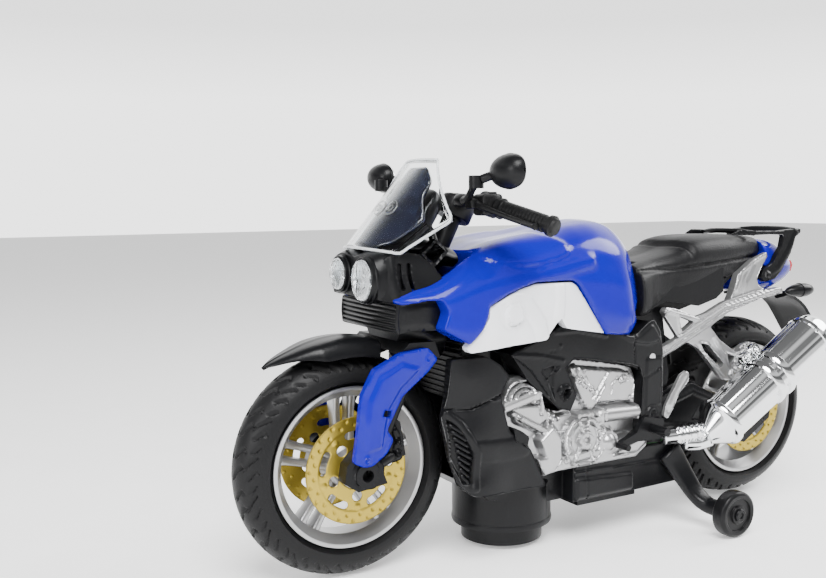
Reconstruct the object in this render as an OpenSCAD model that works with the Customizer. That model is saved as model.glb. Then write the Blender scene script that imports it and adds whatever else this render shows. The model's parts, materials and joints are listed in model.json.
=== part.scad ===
// Battery-operated toy motorcycle, about 1:8.
// +X points forward, +Y to the rider's left, +Z up; the ground is z = 0.
// The origin is under the middle of the machine, half way along its length.

/* [Wheels] */
// Distance between the wheel axles
wheelbase = 190; // [188:1:192]
// Outer radius of the front tyre
front_r = 40; // [39.5:0.1:40.5]
// Outer radius of the rear tyre
rear_r = 39.6; // [39.2:0.1:40]
// Width of the front tyre
front_w = 19; // [18:0.5:19.5]
// Width of the rear tyre
rear_w = 27; // [26:0.5:27.5]
// Radius of both rim lips
rim_r = 28.8; // [28.4:0.1:29]
// Radius of the brake discs
disc_r = 19; // [17:0.5:20]
// Twin spokes in each rim
spokes = 5; // [5:1:6]

/* [Steering] */
// Rake of the steering axis from the vertical, degrees
rake = 28; // [27:0.5:29]
// Radius of the steering stem
stem_r = 3.5; // [3:0.1:3.6]
// Running clearance round the stem, axles and pins
fit = 0.06; // [0.03:0.01:0.09]

/* [Body] */
// Wall thickness of the moulded shells
wall = 1.6; // [1.2:0.1:1.8]
// Half width over the fairings and engine covers
body_y = 25; // [24.5:0.5:25]

/* [Drive turret] */
// Radius of the turning turret
turret_r = 15.9; // [15:0.1:16]
// Radius of the housing that the turret turns in
housing_r = 19.4; // [19:0.1:20]
// Radius of the two drive wheels
drive_r = 6; // [6:0.1:6]
// Teeth on the motor pinion
pinion_teeth = 8; // [8:1:8]
// Teeth on the idler gear
idler_teeth = 24; // [24:1:24]
// Teeth on the drive axle's gear
axle_teeth = 12; // [12:1:12]

/* [Stabilizers] */
// Radius of the stabilizer wheels
stab_r = 9.2; // [9:0.1:9.4]
// Distance from the middle plane to a stabilizer wheel's centre
stab_y = 48.3; // [48:0.1:49]

/* [Hidden] */
$fn = 48;
rear_x = -89;
front_x = rear_x + wheelbase;
turret_x = 33;
stab_x = -44;
mirror_pivot = [66, 34, 137.5];
gear_module = 0.5;
cell_r = 7.25;
cell_l = 50.5;
core_y = 15;

// ---------- helpers ----------

// Extrudes a side-view outline (x, z) from y0 to y1.
module side(y0, y1)
    translate([0, y1, 0])
        rotate([90, 0, 0])
            linear_extrude(height = y1 - y0)
                children();

// Places a shape drawn round Z so that it is round the Y line through (x, z).
module about_y(x, z)
    translate([x, 0, z])
        rotate([90, 0, 0])
            children();

// A round bar or cone from point a to point b.
module rod(a, b, ra, rb) {
    v = b - a;
    len = norm(v);
    translate(a)
        rotate([0, acos(v[2] / len), atan2(v[1], v[0])])
            cylinder(h = len, r1 = ra, r2 = rb);
}

// A cylinder along Y from y0 to y1 at (x, z).
module pin_y(x, z, y0, y1, r)
    translate([x, y1, z])
        rotate([90, 0, 0])
            cylinder(h = y1 - y0, r = r);

module both_sides() {
    children();
    mirror([0, 1, 0])
        children();
}

module ball(p, r)
    translate(p)
        sphere(r = r, $fn = 24);

// x of the steering axis at height z.
function steer_x(z) = front_x - 1 - (z - front_r) * tan(rake);

// Puts a shape drawn along Z onto the steering axis, starting at height z.
module on_steer(z)
    translate([steer_x(z), 0, z])
        rotate([0, -rake, 0])
            children();

// ---------- wheels ----------

// Half ellipse of a tyre's crown above its widest line, then the bead.
function tyre_points(r, w, bead_w) = concat(
    [[27.05, -bead_w], [29.1, -bead_w - 0.2]],
    [for (a = [0:15:180]) [30.5 + (r - 30.5) * sin(a), -w / 2 * cos(a)]],
    [[29.1, bead_w + 0.2], [27.05, bead_w]]
);

module tyre(r, w, bead_w)
    rotate_extrude($fn = 96)
        polygon(tyre_points(r, w, bead_w));

module rim(bead_w, hub_w, bore_r) {
    lip = bead_w + 1.8;
    difference() {
        union() {
            rotate_extrude($fn = 96)
                polygon([
                    [24.5, -bead_w + 1], [rim_r - 1.6, -lip], [rim_r, -lip], [rim_r, -lip + 1],
                    [27, -bead_w - 0.1], [27, bead_w + 0.1], [rim_r, lip - 1], [rim_r, lip],
                    [rim_r - 1.6, lip], [24.5, bead_w - 1]
                ]);
            cylinder(h = 2 * hub_w, r = 6.5, center = true);
            for (i = [0:spokes - 1])
                rotate(90 + i * 360 / spokes)
                    for (s = [-1, 1])
                        rotate(s * 7)
                            translate([5.5, s * 0.4 - 1.1, -bead_w + 2.5])
                                cube([20.5, 2.2, 2 * bead_w - 5]);
        }
        cylinder(h = 3 * hub_w, r = bore_r, center = true);
    }
}

// A drilled brake disc with a five-armed carrier, 1 mm thick, from z to z + 1.
module brake_disc(z, hub_r)
    translate([0, 0, z])
        difference() {
            cylinder(h = 1, r = disc_r);
            translate([0, 0, -1])
                cylinder(h = 3, r = hub_r);
            for (i = [0:4])
                rotate(90 + i * 72) {
                    for (a = [-12, 0, 12])
                        rotate(a)
                            translate([11.2, 0, -1])
                                cylinder(h = 3, r = 1.5, $fn = 24);
                    for (a = [-24, 0, 24])
                        rotate(a)
                            translate([16.4, 0, -1])
                                cylinder(h = 3, r = 0.6, $fn = 16);
                }
        }

module front_tyre()
    color("black")
        about_y(front_x, front_r)
            tyre(front_r, front_w, 6.4);

module front_rim()
    color("silver")
        about_y(front_x, front_r)
            rim(6.4, 13, 2 + fit);

module front_discs()
    color("#cdb35a")
        about_y(front_x, front_r)
            for (z = [-12.5, 11.5])
                brake_disc(z, 6.5);

module rear_tyre()
    color("black")
        about_y(rear_x, rear_r)
            tyre(rear_r, rear_w, 10.4);

module rear_rim()
    color("silver")
        about_y(rear_x, rear_r)
            rim(10.4, 15, 2.5 + fit);

module rear_disc()
    color("#cdb35a")
        about_y(rear_x, rear_r)
            brake_disc(-14.6, 6.5);

module stabilizer_wheel_left()
    stabilizer_wheel(1);

module stabilizer_wheel_right()
    stabilizer_wheel(-1);

module stabilizer_wheel(s)
    color("black")
        translate([stab_x, s * stab_y, stab_r])
            rotate([90, 0, 0])
                difference() {
                    rotate_extrude()
                        polygon([
                            [0, -3.2], [3.6, -3.2], [3.6, -2.2], [6.4, -2.2], [6.4, -3], [8, -3.2],
                            [9, -2.4], [stab_r, -1.5], [stab_r, 1.5], [9, 2.4], [8, 3.2], [6.4, 3],
                            [6.4, 2.2], [3.6, 2.2], [3.6, 3.2], [0, 3.2]
                        ]);
                    cylinder(h = 10, r = 1.5 + fit, center = true);
                }

// ---------- frame and body ----------

core = [
    [60, 104], [56, 84], [44, 76], [38, 62], [12, 38], [-36, 38], [-40, 60], [-36, 84],
    [-68, 92], [-72, 98], [-36, 97], [-14, 99], [6, 105], [34, 104]
];

spar = [
    [45, 77], [26, 84.5], [-2, 81.5], [-12, 79], [-22, 84], [-27, 76], [-28, 46], [-28, 35],
    [-9, 36.5], [-16, 41], [-17, 65], [-10, 68], [17, 73], [21, 69], [15, 59], [18, 53], [25, 56],
    [37, 66]
];

// One moulded half of the frame: a hollow core, the visible spar and half the head tube.
module frame_half(s)
    mirror([0, s < 0 ? 1 : 0, 0])
        difference() {
            union() {
                difference() {
                    side(0, core_y)
                        polygon(core);
                    side(-1, core_y - wall)
                        offset(delta = -wall)
                            polygon(core);
                }
                side(core_y, body_y - 1)
                    difference() {
                        polygon(spar);
                        translate([21.2, 62])
                            circle(r = 1.5);
                    }
                side(0, 6.5)
                    polygon([
                        [58, 103.5], [57, 92], [steer_x(90) - 4, 90], [steer_x(90) + 5, 91],
                        [steer_x(103) + 7, 103], [steer_x(106) + 3, 107]
                    ]);
            }
            on_steer(70)
                cylinder(h = 60, r = stem_r + fit);
        }

module frame_left()
    color("#17181a")
        frame_half(1);

module frame_right()
    color("#17181a")
        frame_half(-1);

// Main dome of the tank; grow is negative for the inside face.
module tank_dome(grow)
    hull()
        both_sides() {
            ball([2, 8, 114], 10 + grow);
            ball([24, 12, 107], 9.5 + grow);
            ball([12, 21, 99], 8 + grow);
            ball([-6, 14, 102], 8 + grow);
            ball([-16, 6, 110], 7 + grow);
            ball([-16, 8, 94], 7 + grow);
            ball([28, 20, 92], 8 + grow);
        }

// The long shoulder of the tank that reaches forward beside the headlight.
module tank_shoulder(grow)
    hull() {
        ball([30, 21, 104], 7 + grow);
        ball([56, 22, 107], 6 + grow);
        ball([76, 23, 96], 4 + grow);
        ball([62, 24, 90], 5 + grow);
        ball([36, 22, 94], 7 + grow);
    }

module tank_cover()
    color("#1414d8")
        difference() {
            union() {
                tank_dome(0);
                both_sides()
                    tank_shoulder(0);
            }
            tank_dome(-wall);
            both_sides()
                tank_shoulder(-wall);
            side(-18.2, 18.2)
                polygon([[38, 60], [38, 130], [100, 130], [100, 60]]);
            side(-20.4, 20.4)
                polygon([[60, 60], [60, 130], [100, 130], [100, 60]]);
            side(-60, 60)
                polygon([
                    [100, 60], [100, 98], [78.6, 98], [78.6, 86], [66, 84], [56, 87.2], [53, 94.2],
                    [45, 99.2], [36, 102.2], [16, 101.2], [-1, 82.6], [-30, 82.6], [-30, 60]
                ]);
            side(-core_y - 0.2, core_y + 0.2)
                offset(delta = 0.2)
                    polygon(core);
        }

panel = [
    [66, 82], [56, 87], [53, 94], [45, 99], [36, 102], [16, 101], [-1, 82.3], [22, 86.5],
    [26, 92], [31, 86], [34, 82]
];

// White flank panels, each with a plain round boss.
module side_panels()
    color("white")
        both_sides() {
            side(25.6, 28.8)
                polygon(panel);
            pin_y(47, 92, 28.8, 29.6, 3.8);
        }

// Everything in front of the line where the pads wrap round the tank's tail.
module tank_tail_cut()
    translate([0, 0, 60])
        linear_extrude(height = 80)
            polygon([[-25.2, -10], [-25.2, 10], [-10, 22], [30, 60], [30, -60], [-10, -22]]);

// Rider's pad and the raised passenger pad, each a rounded slab.
module seat()
    color("#2b2c2e")
    difference() {
        union() {
            hull()
                both_sides() {
                    ball([-18, 8, 105], 4);
                    ball([-44, 13, 105.5], 4);
                    ball([-46, 10, 108], 4);
                }
            hull()
                both_sides() {
                    ball([-44, 11, 109], 4.5);
                    ball([-56, 13, 111], 5);
                    ball([-84, 9, 111.5], 4.5);
                    ball([-94, 8, 112], 3.5);
                    ball([-76, 9.5, 105], 4);
                }
        }
        translate([-130, -40, 60])
            cube([130, 80, 43]);
        tank_tail_cut();
    }

module seat_base()
    color("#17181a")
        difference() {
            side(-17, 17)
                polygon([
                    [-15, 102.8], [-19, 86], [-26, 87], [-36, 90.5], [-54, 87.5], [-64, 90],
                    [-74, 97], [-82, 102.8]
                ]);
            both_sides()
                side(14, 30)
                    polygon([[-68, 80], [-68, 110], [-100, 110], [-100, 80]]);
            side(-core_y - 0.2, core_y + 0.2)
                offset(delta = 0.2)
                    polygon(core);
            tank_tail_cut();
        }

// Cast tail frame: a beam, its triangle, two legs and the fin beside the tail.
module subframe(s)
    color("#c9cbce")
        mirror([0, s < 0 ? 1 : 0, 0]) {
            side(14.2, 17.4)
                polygon([
                    [-70, 92.5], [-78, 101], [-83, 104], [-92, 108], [-95, 106], [-88, 96],
                    [-90, 91], [-84, 89], [-78, 86]
                ]);
            difference() {
                side(17.4, 20.6)
                    polygon([
                        [-29, 72], [-31, 64], [-45, 70], [-70, 54], [-75, 55], [-76, 60],
                        [-62, 69], [-68, 74], [-80, 64], [-84, 67], [-72, 80], [-86, 88],
                        [-84, 92], [-66, 88], [-48, 80], [-54, 86], [-34, 87], [-31, 84]
                    ]);
                side(10, 30)
                    polygon([[-36, 84.5], [-48, 84], [-42, 77.5]]);
                side(10, 30)
                    polygon([[-52, 69.5], [-65, 60.5], [-66.5, 62], [-54, 71.5]]);
            }
        }

module subframe_left()
    subframe(1);

module subframe_right()
    subframe(-1);

module tail_cowl()
    color("#1414d8")
        difference() {
            hull()
                both_sides() {
                    ball([-98, 10, 109.5], 3.5);
                    ball([-97, 10, 94], 4);
                    ball([-106, 8, 110], 3);
                    ball([-119, 6, 101], 3.4);
                    ball([-108, 8, 94.5], 3.5);
                }
            translate([-130, -40, 60])
                cube([140, 80, 30.2]);
            hull()
                both_sides() {
                    ball([-96, 8.5, 96], 3);
                    ball([-96, 8.5, 108], 3);
                    ball([-112, 5, 101], 2);
                }
            translate([-98, -40, 80])
                cube([20, 80, 60]);
            side(-6.2, 6.2)
                polygon(lamp_cut);
        }

module grab_rail()
    color("#17181a") {
        translate([-117, -16.8, 115.5])
            cube([8, 33.6, 2.5]);
        both_sides() {
            translate([-112, 14.2, 115.5])
                cube([32, 2.6, 2.5]);
            side(14.2, 16.8)
                polygon([
                    [-117, 116], [-112, 116], [-110, 106], [-99, 98], [-99, 94.5], [-103, 95],
                    [-113, 103]
                ]);
            side(14.2, 16.8)
                polygon([[-80, 118], [-84.4, 118], [-91.4, 108], [-86, 105.7]]);
        }
    }

lamp = [[-120.6, 105], [-125, 101.6], [-123.6, 97.4], [-119, 97.2]];
lamp_cut = [[-120.4, 105.2], [-126, 105.2], [-126, 97], [-118.8, 97]];

module tail_lamp()
    color("#b01414")
        side(-6, 6)
            polygon(lamp);

module plate_bracket()
    color("#17181a")
        difference() {
            union() {
                side(-11, 11)
                    polygon([
                        [-100, 88.5], [-112, 88.6], [-128, 86], [-141, 68], [-139.4, 66.8],
                        [-127, 83], [-112, 85.5], [-100, 86]
                    ]);
                side(-8, 8)
                    polygon([[-96, 89.9], [-96, 86], [-112, 85.5], [-112, 89.9]]);
                both_sides()
                    pin_y(-116, 87.4, 10.5, 17, 1.2);
            }
            for (y = [-6, 0, 6])
                translate([-140, y - 1, 60])
                    cube([12, 2, 22.5]);
        }

module rear_indicators()
    color("#1b1c1f")
        both_sides()
            intersection() {
                pin_y(-116, 87.4, 17, 24, 3.6);
                translate([-116, 17, 87.4])
                    scale([1, 1.9, 1])
                        sphere(r = 3.6, $fn = 32);
            }

// ---------- engine, fairing, belly ----------

engine_outline = [
    [48, 61], [45, 49], [34, 42], [29, 30], [-15, 30], [-22, 36], [-22, 40], [-16.2, 41.5],
    [-17.2, 65], [-10, 67.8], [16.6, 72.7], [20.6, 68.8], [14.8, 59.4], [15, 53], [25, 55.4],
    [37, 65.6]
];

// One silver engine shell with its clutch cover, dome, cylinder and fins.
module engine_half(s)
    color("#c4c6c9")
        mirror([0, s < 0 ? 1 : 0, 0])
            difference() {
                union() {
                    side(core_y + 0.1, 20)
                        polygon(engine_outline);
                    side(23.6, 24)
                        polygon([[33, 42], [29, 30], [-15, 30], [-19, 35], [-8, 36], [-8, 42]]);
                    pin_y(10, 42, 20, 24.2, 11.5);
                    pin_y(10, 42, 24.2, 25.4, 8.2);
                    pin_y(10, 42, 25.4, 26.6, 3.4);
                    pin_y(-5, 40, 18, 24, 4.8);
                    rod([8, 22, 55.5], [-14, 22, 54.5], 3.2, 3.2);
                    side(20, 22.6)
                        polygon([[19, 70.6], [-9, 66.4], [-13, 60], [4, 58.6], [13.8, 60.2]]);
                    for (i = [0:3])
                        side(22.6, 23.8)
                            translate([-8 + i * 5.5, 60.6 + i * 0.5])
                                square([1.6, 5.4]);
                    side(20, 23.4)
                        polygon([[47, 60], [44, 50], [33.5, 42.6], [28, 46], [27, 54], [36, 63]]);
                    for (i = [0:2])
                        side(23.4, 24.6)
                            translate([30.5 + i * 4, 47 + i * 2.4])
                                square([1.5, 9]);
                    for (i = [0:4])
                        cover_boss(i);
                }
                translate([-41, 0, 20])
                    cube([57.2, 23.55, 14.7]);
                side(core_y, body_y - 1)
                    polygon(spar);
            }

// Bolt bosses round the clutch cover.
module cover_boss(i)
    pin_y(10 + 10.2 * cos(36 + 72 * i), 42 + 10.2 * sin(36 + 72 * i), 24.2, 25, 1);

module engine_left()
    engine_half(1);

module engine_right()
    engine_half(-1);

fairing_outline = [
    [69, 77], [55, 77], [50, 73.6], [46.2, 69], [50.5, 63], [48.5, 50], [38, 42], [31, 26],
    [62, 28], [68, 38], [72.5, 57], [70.5, 64]
];

fairing_inner = [
    [68, 80], [56, 80], [52, 72.5], [49, 69], [52.2, 63.4], [50.2, 49], [39.4, 41], [33, 28],
    [60.6, 29.4], [66.4, 38.4], [80, 57], [69, 64.4]
];

// One lower fairing: outer wall, rear flange and the slatted vent on its leading edge.
module fairing(s)
    color("#1b1c1f")
        mirror([0, s < 0 ? 1 : 0, 0]) {
            difference() {
                side(18.6, body_y)
                    polygon(fairing_outline);
                side(10, body_y - 1.5)
                    polygon(fairing_inner);
            }
            for (i = [0:8])
                side(20, body_y + 0.8)
                    translate([60.4 + i * 0.9, 32.4 + i * 2.7])
                        square([3.4, 1]);
        }

module fairing_left()
    fairing(1);

module fairing_right()
    fairing(-1);

// Belly tray round the cells, open at the top, with the turret's round housing in front.
module belly_pan()
    color("#131416")
        difference() {
            union() {
                side(-23.5, 23.5)
                    polygon([[16, 34.6], [16, 17], [-16, 17], [-38, 17.4], [-40, 34.6]]);
                translate([turret_x, 0, 8])
                    cylinder(h = 18, r = housing_r, $fn = 96);
                side(-17, 17)
                    polygon([[14, 17], [14, 29.8], [60, 29.8], [50, 22], [30, 17]]);
            }
            translate([turret_x, 0, 9.3])
                cylinder(h = 30, r = housing_r - 1.2, $fn = 96);
            translate([turret_x, 0, 7])
                cylinder(h = 3, r = turret_r + 0.4, $fn = 96);
            translate([-37.6, -22.4, 18.8])
                cube([51.4, 44.8, 17]);
            translate([-33.6, 5.8, 16])
                cube([7, 3, 4]);
        }

module battery_cover()
    color("#101113")
        difference() {
            translate([-16, -22.5, 15])
                cube([29, 45, 1.9]);
            translate([9.6, 0, 14])
                cylinder(h = 1.8, r = 1.9);
            for (i = [0:4])
                translate([-10 + i * 3, -10, 14])
                    cube([1.2, 20, 1.6]);
        }

module battery_cells()
    color("#4c7a46")
        for (y = [-14.8, 0, 14.8])
            translate([-37, y, 27]) {
                rotate([0, 90, 0])
                    cylinder(h = cell_l - 1.4, r = cell_r);
                rotate([0, 90, 0])
                    cylinder(h = cell_l, r = 2.6);
            }

module circuit_board()
    color("#1d5c2e") {
        translate([-30, -1, 42])
            cube([44, 1.6, 16]);
        for (i = [0:2])
            translate([-24 + i * 12, 0.6, 45])
                cube([6, 2, 8]);
    }

module speaker()
    color("#3a3a3c") {
        translate([-12, 0, 72])
            cylinder(h = 4, r = 5.5);
        translate([-12, 0, 76])
            cylinder(h = 3, r1 = 8, r2 = 11);
        translate([-12, 0, 79])
            cylinder(h = 1.2, r = 12);
    }

// Slider that reaches down through the slot in the belly, between two cells.
module power_switch()
    color("#8c1616") {
        translate([-34.5, 4.9, 18.9])
            cube([5, 4.8, 1.2]);
        translate([-33.2, 6.2, 15.8])
            cube([2, 2.2, 3.2]);
    }

// ---------- rear end ----------

module swingarm()
    color("#17181a")
        difference() {
            union() {
                both_sides()
                    side(15.4, 17.2)
                        polygon([
                            [-30, 52], [-31, 38], [-44, 35.6], [-80, 32], [-95, 34], [-97, 44],
                            [-90, 48], [-66, 48], [-48, 58]
                        ]);
                side(-15.4, 15.4)
                    polygon([[-41, 50], [-41, 38], [-45.5, 37], [-46.5, 50]]);
                side(17.2, 20.4)
                    polygon([[-66, 46], [-70, 30], [-80, 27], [-95, 36], [-97, 46], [-88, 50]]);
                pin_y(rear_x, rear_r, 15.4, 20.4, 6);
                pin_y(rear_x, rear_r, -19, -15.4, 6);
            }
            pin_y(rear_x, rear_r, -16.9, 16.9, 2.5);
        }

module rear_axle()
    color("silver")
        pin_y(rear_x, rear_r, -16.8, 16.8, 2.46);

muffler_a = [-50.5, 32.5, 40.6];
muffler_b = [-105.5, 35.5, 75.6];

// Point at fraction t of the muffler's axis.
function on_muffler(t) = muffler_a + t * (muffler_b - muffler_a);

module muffler()
    color("#d9dadc") {
        rod(on_muffler(0), on_muffler(0.9), 9.6, 10);
        rod(on_muffler(0.9), on_muffler(0.96), 10, 8.4);
        rod(on_muffler(0.96), on_muffler(1), 8.4, 7);
        for (t = [0.02, 0.42, 0.52])
            rod(on_muffler(t), on_muffler(t + 0.04), 10.4, 10.4);
        difference() {
            rod(on_muffler(0.99), on_muffler(1.04), 4, 4);
            rod(on_muffler(1.005), on_muffler(1.1), 3, 3);
        }
        rod(on_muffler(0.44) + [1, -6, 6], [-72, 22.2, 60], 1.8, 1.8);
    }

pipe_a = [-29.4, 26, 37.5];
pipe_b = on_muffler(-0.12);

module exhaust_pipe()
    color("#d0d1d3") {
        rod(pipe_a, pipe_b, 3.2, 3.4);
        for (i = [0:4])
            rod(pipe_a + (0.2 + i * 0.16) * (pipe_b - pipe_a),
                pipe_a + (0.27 + i * 0.16) * (pipe_b - pipe_a), 4.3, 4.3);
        rod(pipe_b, on_muffler(-0.001), 3.6, 8.8);
    }

module heel_guards()
    color("#c9cbce")
        both_sides()
            side(24.1, 25.5)
                polygon([
                    [-27, 60], [-38, 61], [-43, 59], [-38, 53], [-36, 49.4], [-29, 44], [-27, 48]
                ]);

module foot_controls()
    color("#17181a")
        both_sides() {
            side(24.1, 26.4)
                polygon([[-17, 47], [-27, 45], [-27, 37], [-14, 37.5], [-4, 36], [-4, 38], [-13, 41]]);
            pin_y(-21, 42, 26.4, 35, 1.7);
            pin_y(-5, 37, 26.4, 31, 1.2);
        }

// Bent arms from the belly's flanks down and out to the stabilizer wheels.
module stabilizer_arms()
    color("#131416")
        both_sides() {
            hull() {
                translate([-41, 23.6, 29])
                    cube([15, 2.6, 3.6]);
                translate([-41, 23.6, 19])
                    cube([9, 4, 5]);
            }
            hull() {
                translate([-41, 23.6, 19])
                    cube([9, 4, 5]);
                translate([-47, 33, 6])
                    cube([8, 4, 6.5]);
            }
            hull() {
                translate([-47, 33, 6])
                    cube([8, 4, 6.5]);
                pin_y(stab_x, stab_r, 41, 44.6, 3.6);
            }
            pin_y(stab_x, stab_r, 44.5, 52.2, 1.5);
            pin_y(stab_x, stab_r, 51.8, 52.7, 2.6);
        }

// Pan-head case screws on both flanks and under the belly.
module screws()
    color("#9a9c9f") {
        both_sides() {
            pin_y(21.2, 62, 21, 23.4, 1.4);
            pin_y(-22, 70, 24.05, 24.7, 1.5);
            pin_y(-35, 46, 17.25, 17.9, 1.4);
        }
        for (x = [-24, -34])
            for (y = [-12, 12])
                translate([x, y, 16.3])
                    cylinder(h = 0.6, r = 1.4);
        translate([9.6, 0, 15.2])
            cylinder(h = 0.5, r = 1.6);
    }

// ---------- nose ----------

module headlight_housing()
    color("#17181a")
        difference() {
            side(-18, 18)
                polygon([[94, 98], [96, 111], [90, 113.4], [82, 112], [80, 98]]);
            translate([90, 10, 105])
                rotate([0, 90, 0])
                    cylinder(h = 20, r = 7.4);
            translate([90, -9.4, 106])
                rotate([0, 90, 0])
                    cylinder(h = 20, r = 5.6);
        }

module lamp_bowl(p, r)
    translate(p)
        rotate([0, 90, 0])
            difference() {
                cylinder(h = 5, r = r);
                translate([0, 0, 1])
                    cylinder(h = 5, r1 = r - 3, r2 = r - 0.6);
            }

module headlight_reflectors()
    color("#e6e6e6") {
        lamp_bowl([90.1, 10, 105], 7.3);
        lamp_bowl([90.1, -9.4, 106], 5.5);
    }

module lens(p, r)
    translate(p)
        rotate([0, 90, 0]) {
            cylinder(h = 1.2, r = r);
            translate([0, 0, 1.2])
                cylinder(h = 1.6, r1 = r, r2 = r - 2);
        }

module headlight_lenses()
    color("#dfe8ee") {
        lens([95.2, 10, 105], 7.3);
        lens([95.2, -9.4, 106], 5.5);
    }

// Slatted lower grille: front wall and two cheeks.
module nose_grille()
    color("#1b1c1f") {
        difference() {
            side(-22, 22)
                polygon([[89, 97], [89, 87.5], [84, 88.2], [79, 88.6], [79, 97.6]]);
            side(-20.4, 20.4)
                polygon([[86.4, 100], [86.4, 80], [60, 80], [60, 100]]);
            for (i = [0:3])
                translate([85, -18, 89 + i * 2])
                    cube([8, 36, 1]);
        }
    }

// Black cheeks between the headlight and the tank's shoulders, with gill slots.
module nose_cover()
    color("#17181a") {
        difference() {
            both_sides()
                side(18.4, 20.2)
                    polygon([[90, 98.2], [92, 104], [88, 112.6], [70, 113], [65, 109], [72, 98.2]]);
            for (i = [0:2])
                side(-30, 30)
                    polygon([
                        [88 - i * 4, 111], [86.4 - i * 4, 111], [83.4 - i * 4, 103],
                        [85 - i * 4, 103]
                    ]);
        }
        translate([82.6, -19.4, 113.6])
            cube([4, 38.8, 1.6]);
        both_sides()
            translate([82.6, 18.4, 112])
                cube([4, 1, 2.6]);
    }

screen_r = 36;

// Curved clear sheet leaning back over the headlights; local x runs up the slope.
module windscreen()
    color([0.8, 0.86, 0.9, 0.5])
        translate([94, 0, 117.8])
            mirror([1, 0, 0])
                rotate([0, -47, 0])
                    intersection() {
                        translate([0, 0, -screen_r])
                            screen_shell();
                        linear_extrude(height = 60, center = true)
                            polygon([
                                [0, -20], [1, -8], [1, 8], [0, 20], [17, 27.5], [22, 25],
                                [37, 11], [38, 0], [37, -11], [22, -25], [17, -27.5]
                            ]);
                    }

// The upper half of a tube along local x, 1.2 mm thick.
module screen_shell()
    rotate([0, 90, 0])
        difference() {
            cylinder(h = 90, r = screen_r, center = true, $fn = 96);
            cylinder(h = 92, r = screen_r - 1.2, center = true, $fn = 96);
            translate([0, -50, -50])
                cube([60, 100, 100]);
        }

// Instrument cowl and its dark mask behind the screen.
module instrument_panel()
    color("#17181a")
        side(-9.4, 9.4)
            polygon([[89, 115.2], [67, 137], [64.4, 135.6], [71, 122], [76, 115.2]]);

// ---------- steering ----------

module fork_yoke()
    color("#17181a") {
        on_steer(82)
            cylinder(h = 54, r = stem_r);
        difference() {
            side(-19.4, 19.4)
                polygon([
                    [steer_x(80) - 7, 78], [steer_x(80) - 5, 83.4], [steer_x(80) + 5, 83.6],
                    [steer_x(80) + 9, 80], [steer_x(80) + 4, 75]
                ]);
            translate([60, -11, 60])
                cube([60, 22, 20.4]);
        }
        both_sides()
            rod([steer_x(80) + 1, 16.6, 80], [steer_x(48) - 0.5, 16.6, 48], 2.6, 2.6);
    }

grip_in = [54.6, 25, 129.9];
grip_out = [45, 50, 122.3];

// Bar, clamp, switch blocks, grips and levers, moulded in one.
module handlebar()
    color("#1a1b1d")
        difference() {
            union() {
                on_steer(125)
                    cylinder(h = 8, r = 6.4);
                both_sides() {
                    rod([steer_x(128) - 1, 3, 130], [59, 14, 131.6], 2.6, 2.4);
                    ball([59, 14, 131.6], 2.5);
                    rod([59, 14, 131.6], grip_in, 2.3, 2.2);
                    translate(grip_in - [3.5, 3.7, 3.4])
                        cube([8.1, 6.6, 6.7]);
                    rod(grip_in, grip_out, 3, 2.9);
                    rod([58.4, 26.4, 129.4], [56, 33, 127.4], 1.15, 1.1);
                    ball([56, 33, 127.4], 1.25);
                    rod([56, 33, 127.4], [50.5, 46, 123], 1.05, 0.9);
                    rod([60, 17.2, 131.4], mirror_pivot, 1.3, 1.1);
                    translate(mirror_pivot - [0, 0, 1.9])
                        cylinder(h = 3.8, r = 1.7);
                }
            }
            on_steer(120)
                cylinder(h = 12, r = stem_r + 0.02);
        }

fork_cover_outline = [
    [74, 77], [88, 80.4], [98, 76], [103, 67], [105, 53], [106.5, 47], [102, 47], [95, 47],
    [92, 52], [94.5, 55], [91.5, 60], [88, 66], [78, 73]
];

module fork_cover(s)
    color("#1414d8")
        mirror([0, s < 0 ? 1 : 0, 0])
            difference() {
                side(19.6, 22.4)
                    polygon(fork_cover_outline);
                translate([93, 15, 59])
                    cube([3, 10, 3]);
            }

// Fork feet with the axle sockets and the brake calipers.
module fork_feet()
    color("#17181a")
        both_sides()
            difference() {
                union() {
                    side(13.6, 19.4)
                        polygon([
                            [93, 36], [97, 46.6], [101, 50], [105.4, 46.6], [108, 44], [109, 38],
                            [104, 34.5]
                        ]);
                    pin_y(front_x, front_r, 13.6, 20.8, 4.4);
                    side(13.2, 16)
                        polygon([[84, 44], [86, 56], [90, 59], [94, 48], [95, 40]]);
                }
                pin_y(front_x, front_r, 12, 16.4, 1.97);
                pin_y(front_x, front_r, 17.2, 22, 2.1);
                rod([steer_x(80) + 1, 16.6, 80], [steer_x(48) - 0.5, 16.6, 48], 2.62, 2.62);
            }

module front_fender()
    color("#1b1c1f")
        intersection() {
            about_y(front_x, front_r)
                difference() {
                    rotate_extrude($fn = 96)
                        polygon([
                            [43, -11], [45.4, -8], [46, 0], [45.4, 8], [43, 11], [41.6, 11],
                            [43.6, 7.6], [44.4, 0], [43.6, -7.6], [41.6, -11]
                        ]);
                    cylinder(h = 60, r = 3, center = true);
                }
            side(-23, 23)
                polygon([[front_x, front_r], [146, 92], [136, 110], [84, 110], [88, 88]]);
        }

module front_axle()
    color("silver")
        pin_y(front_x, front_r, -16.3, 16.3, 1.94);

module mirror_shell(s)
    color("#17181a")
        mirror([0, s < 0 ? 1 : 0, 0])
            difference() {
                union() {
                    hull() {
                        ball([59.6, 41.6, 140.5], 5.8);
                        ball([59.6, 46.8, 140.5], 5.8);
                    }
                    rod(mirror_pivot, [61, 42, 140], 1.6, 1.8);
                }
                translate([40, 30, 125])
                    cube([20, 30, 30]);
                translate(mirror_pivot - [0, 0, 3])
                    cylinder(h = 6, r = 1.7 + fit);
            }

module mirror_left()
    mirror_shell(1);

module mirror_right()
    mirror_shell(-1);

// ---------- drive turret ----------

gear_t = 1.8;
gear_y = -6.6;
idler_z = drive_r + (axle_teeth + idler_teeth) * gear_module / 2;
motor_z = idler_z + (pinion_teeth + idler_teeth) * gear_module / 2;

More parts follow.
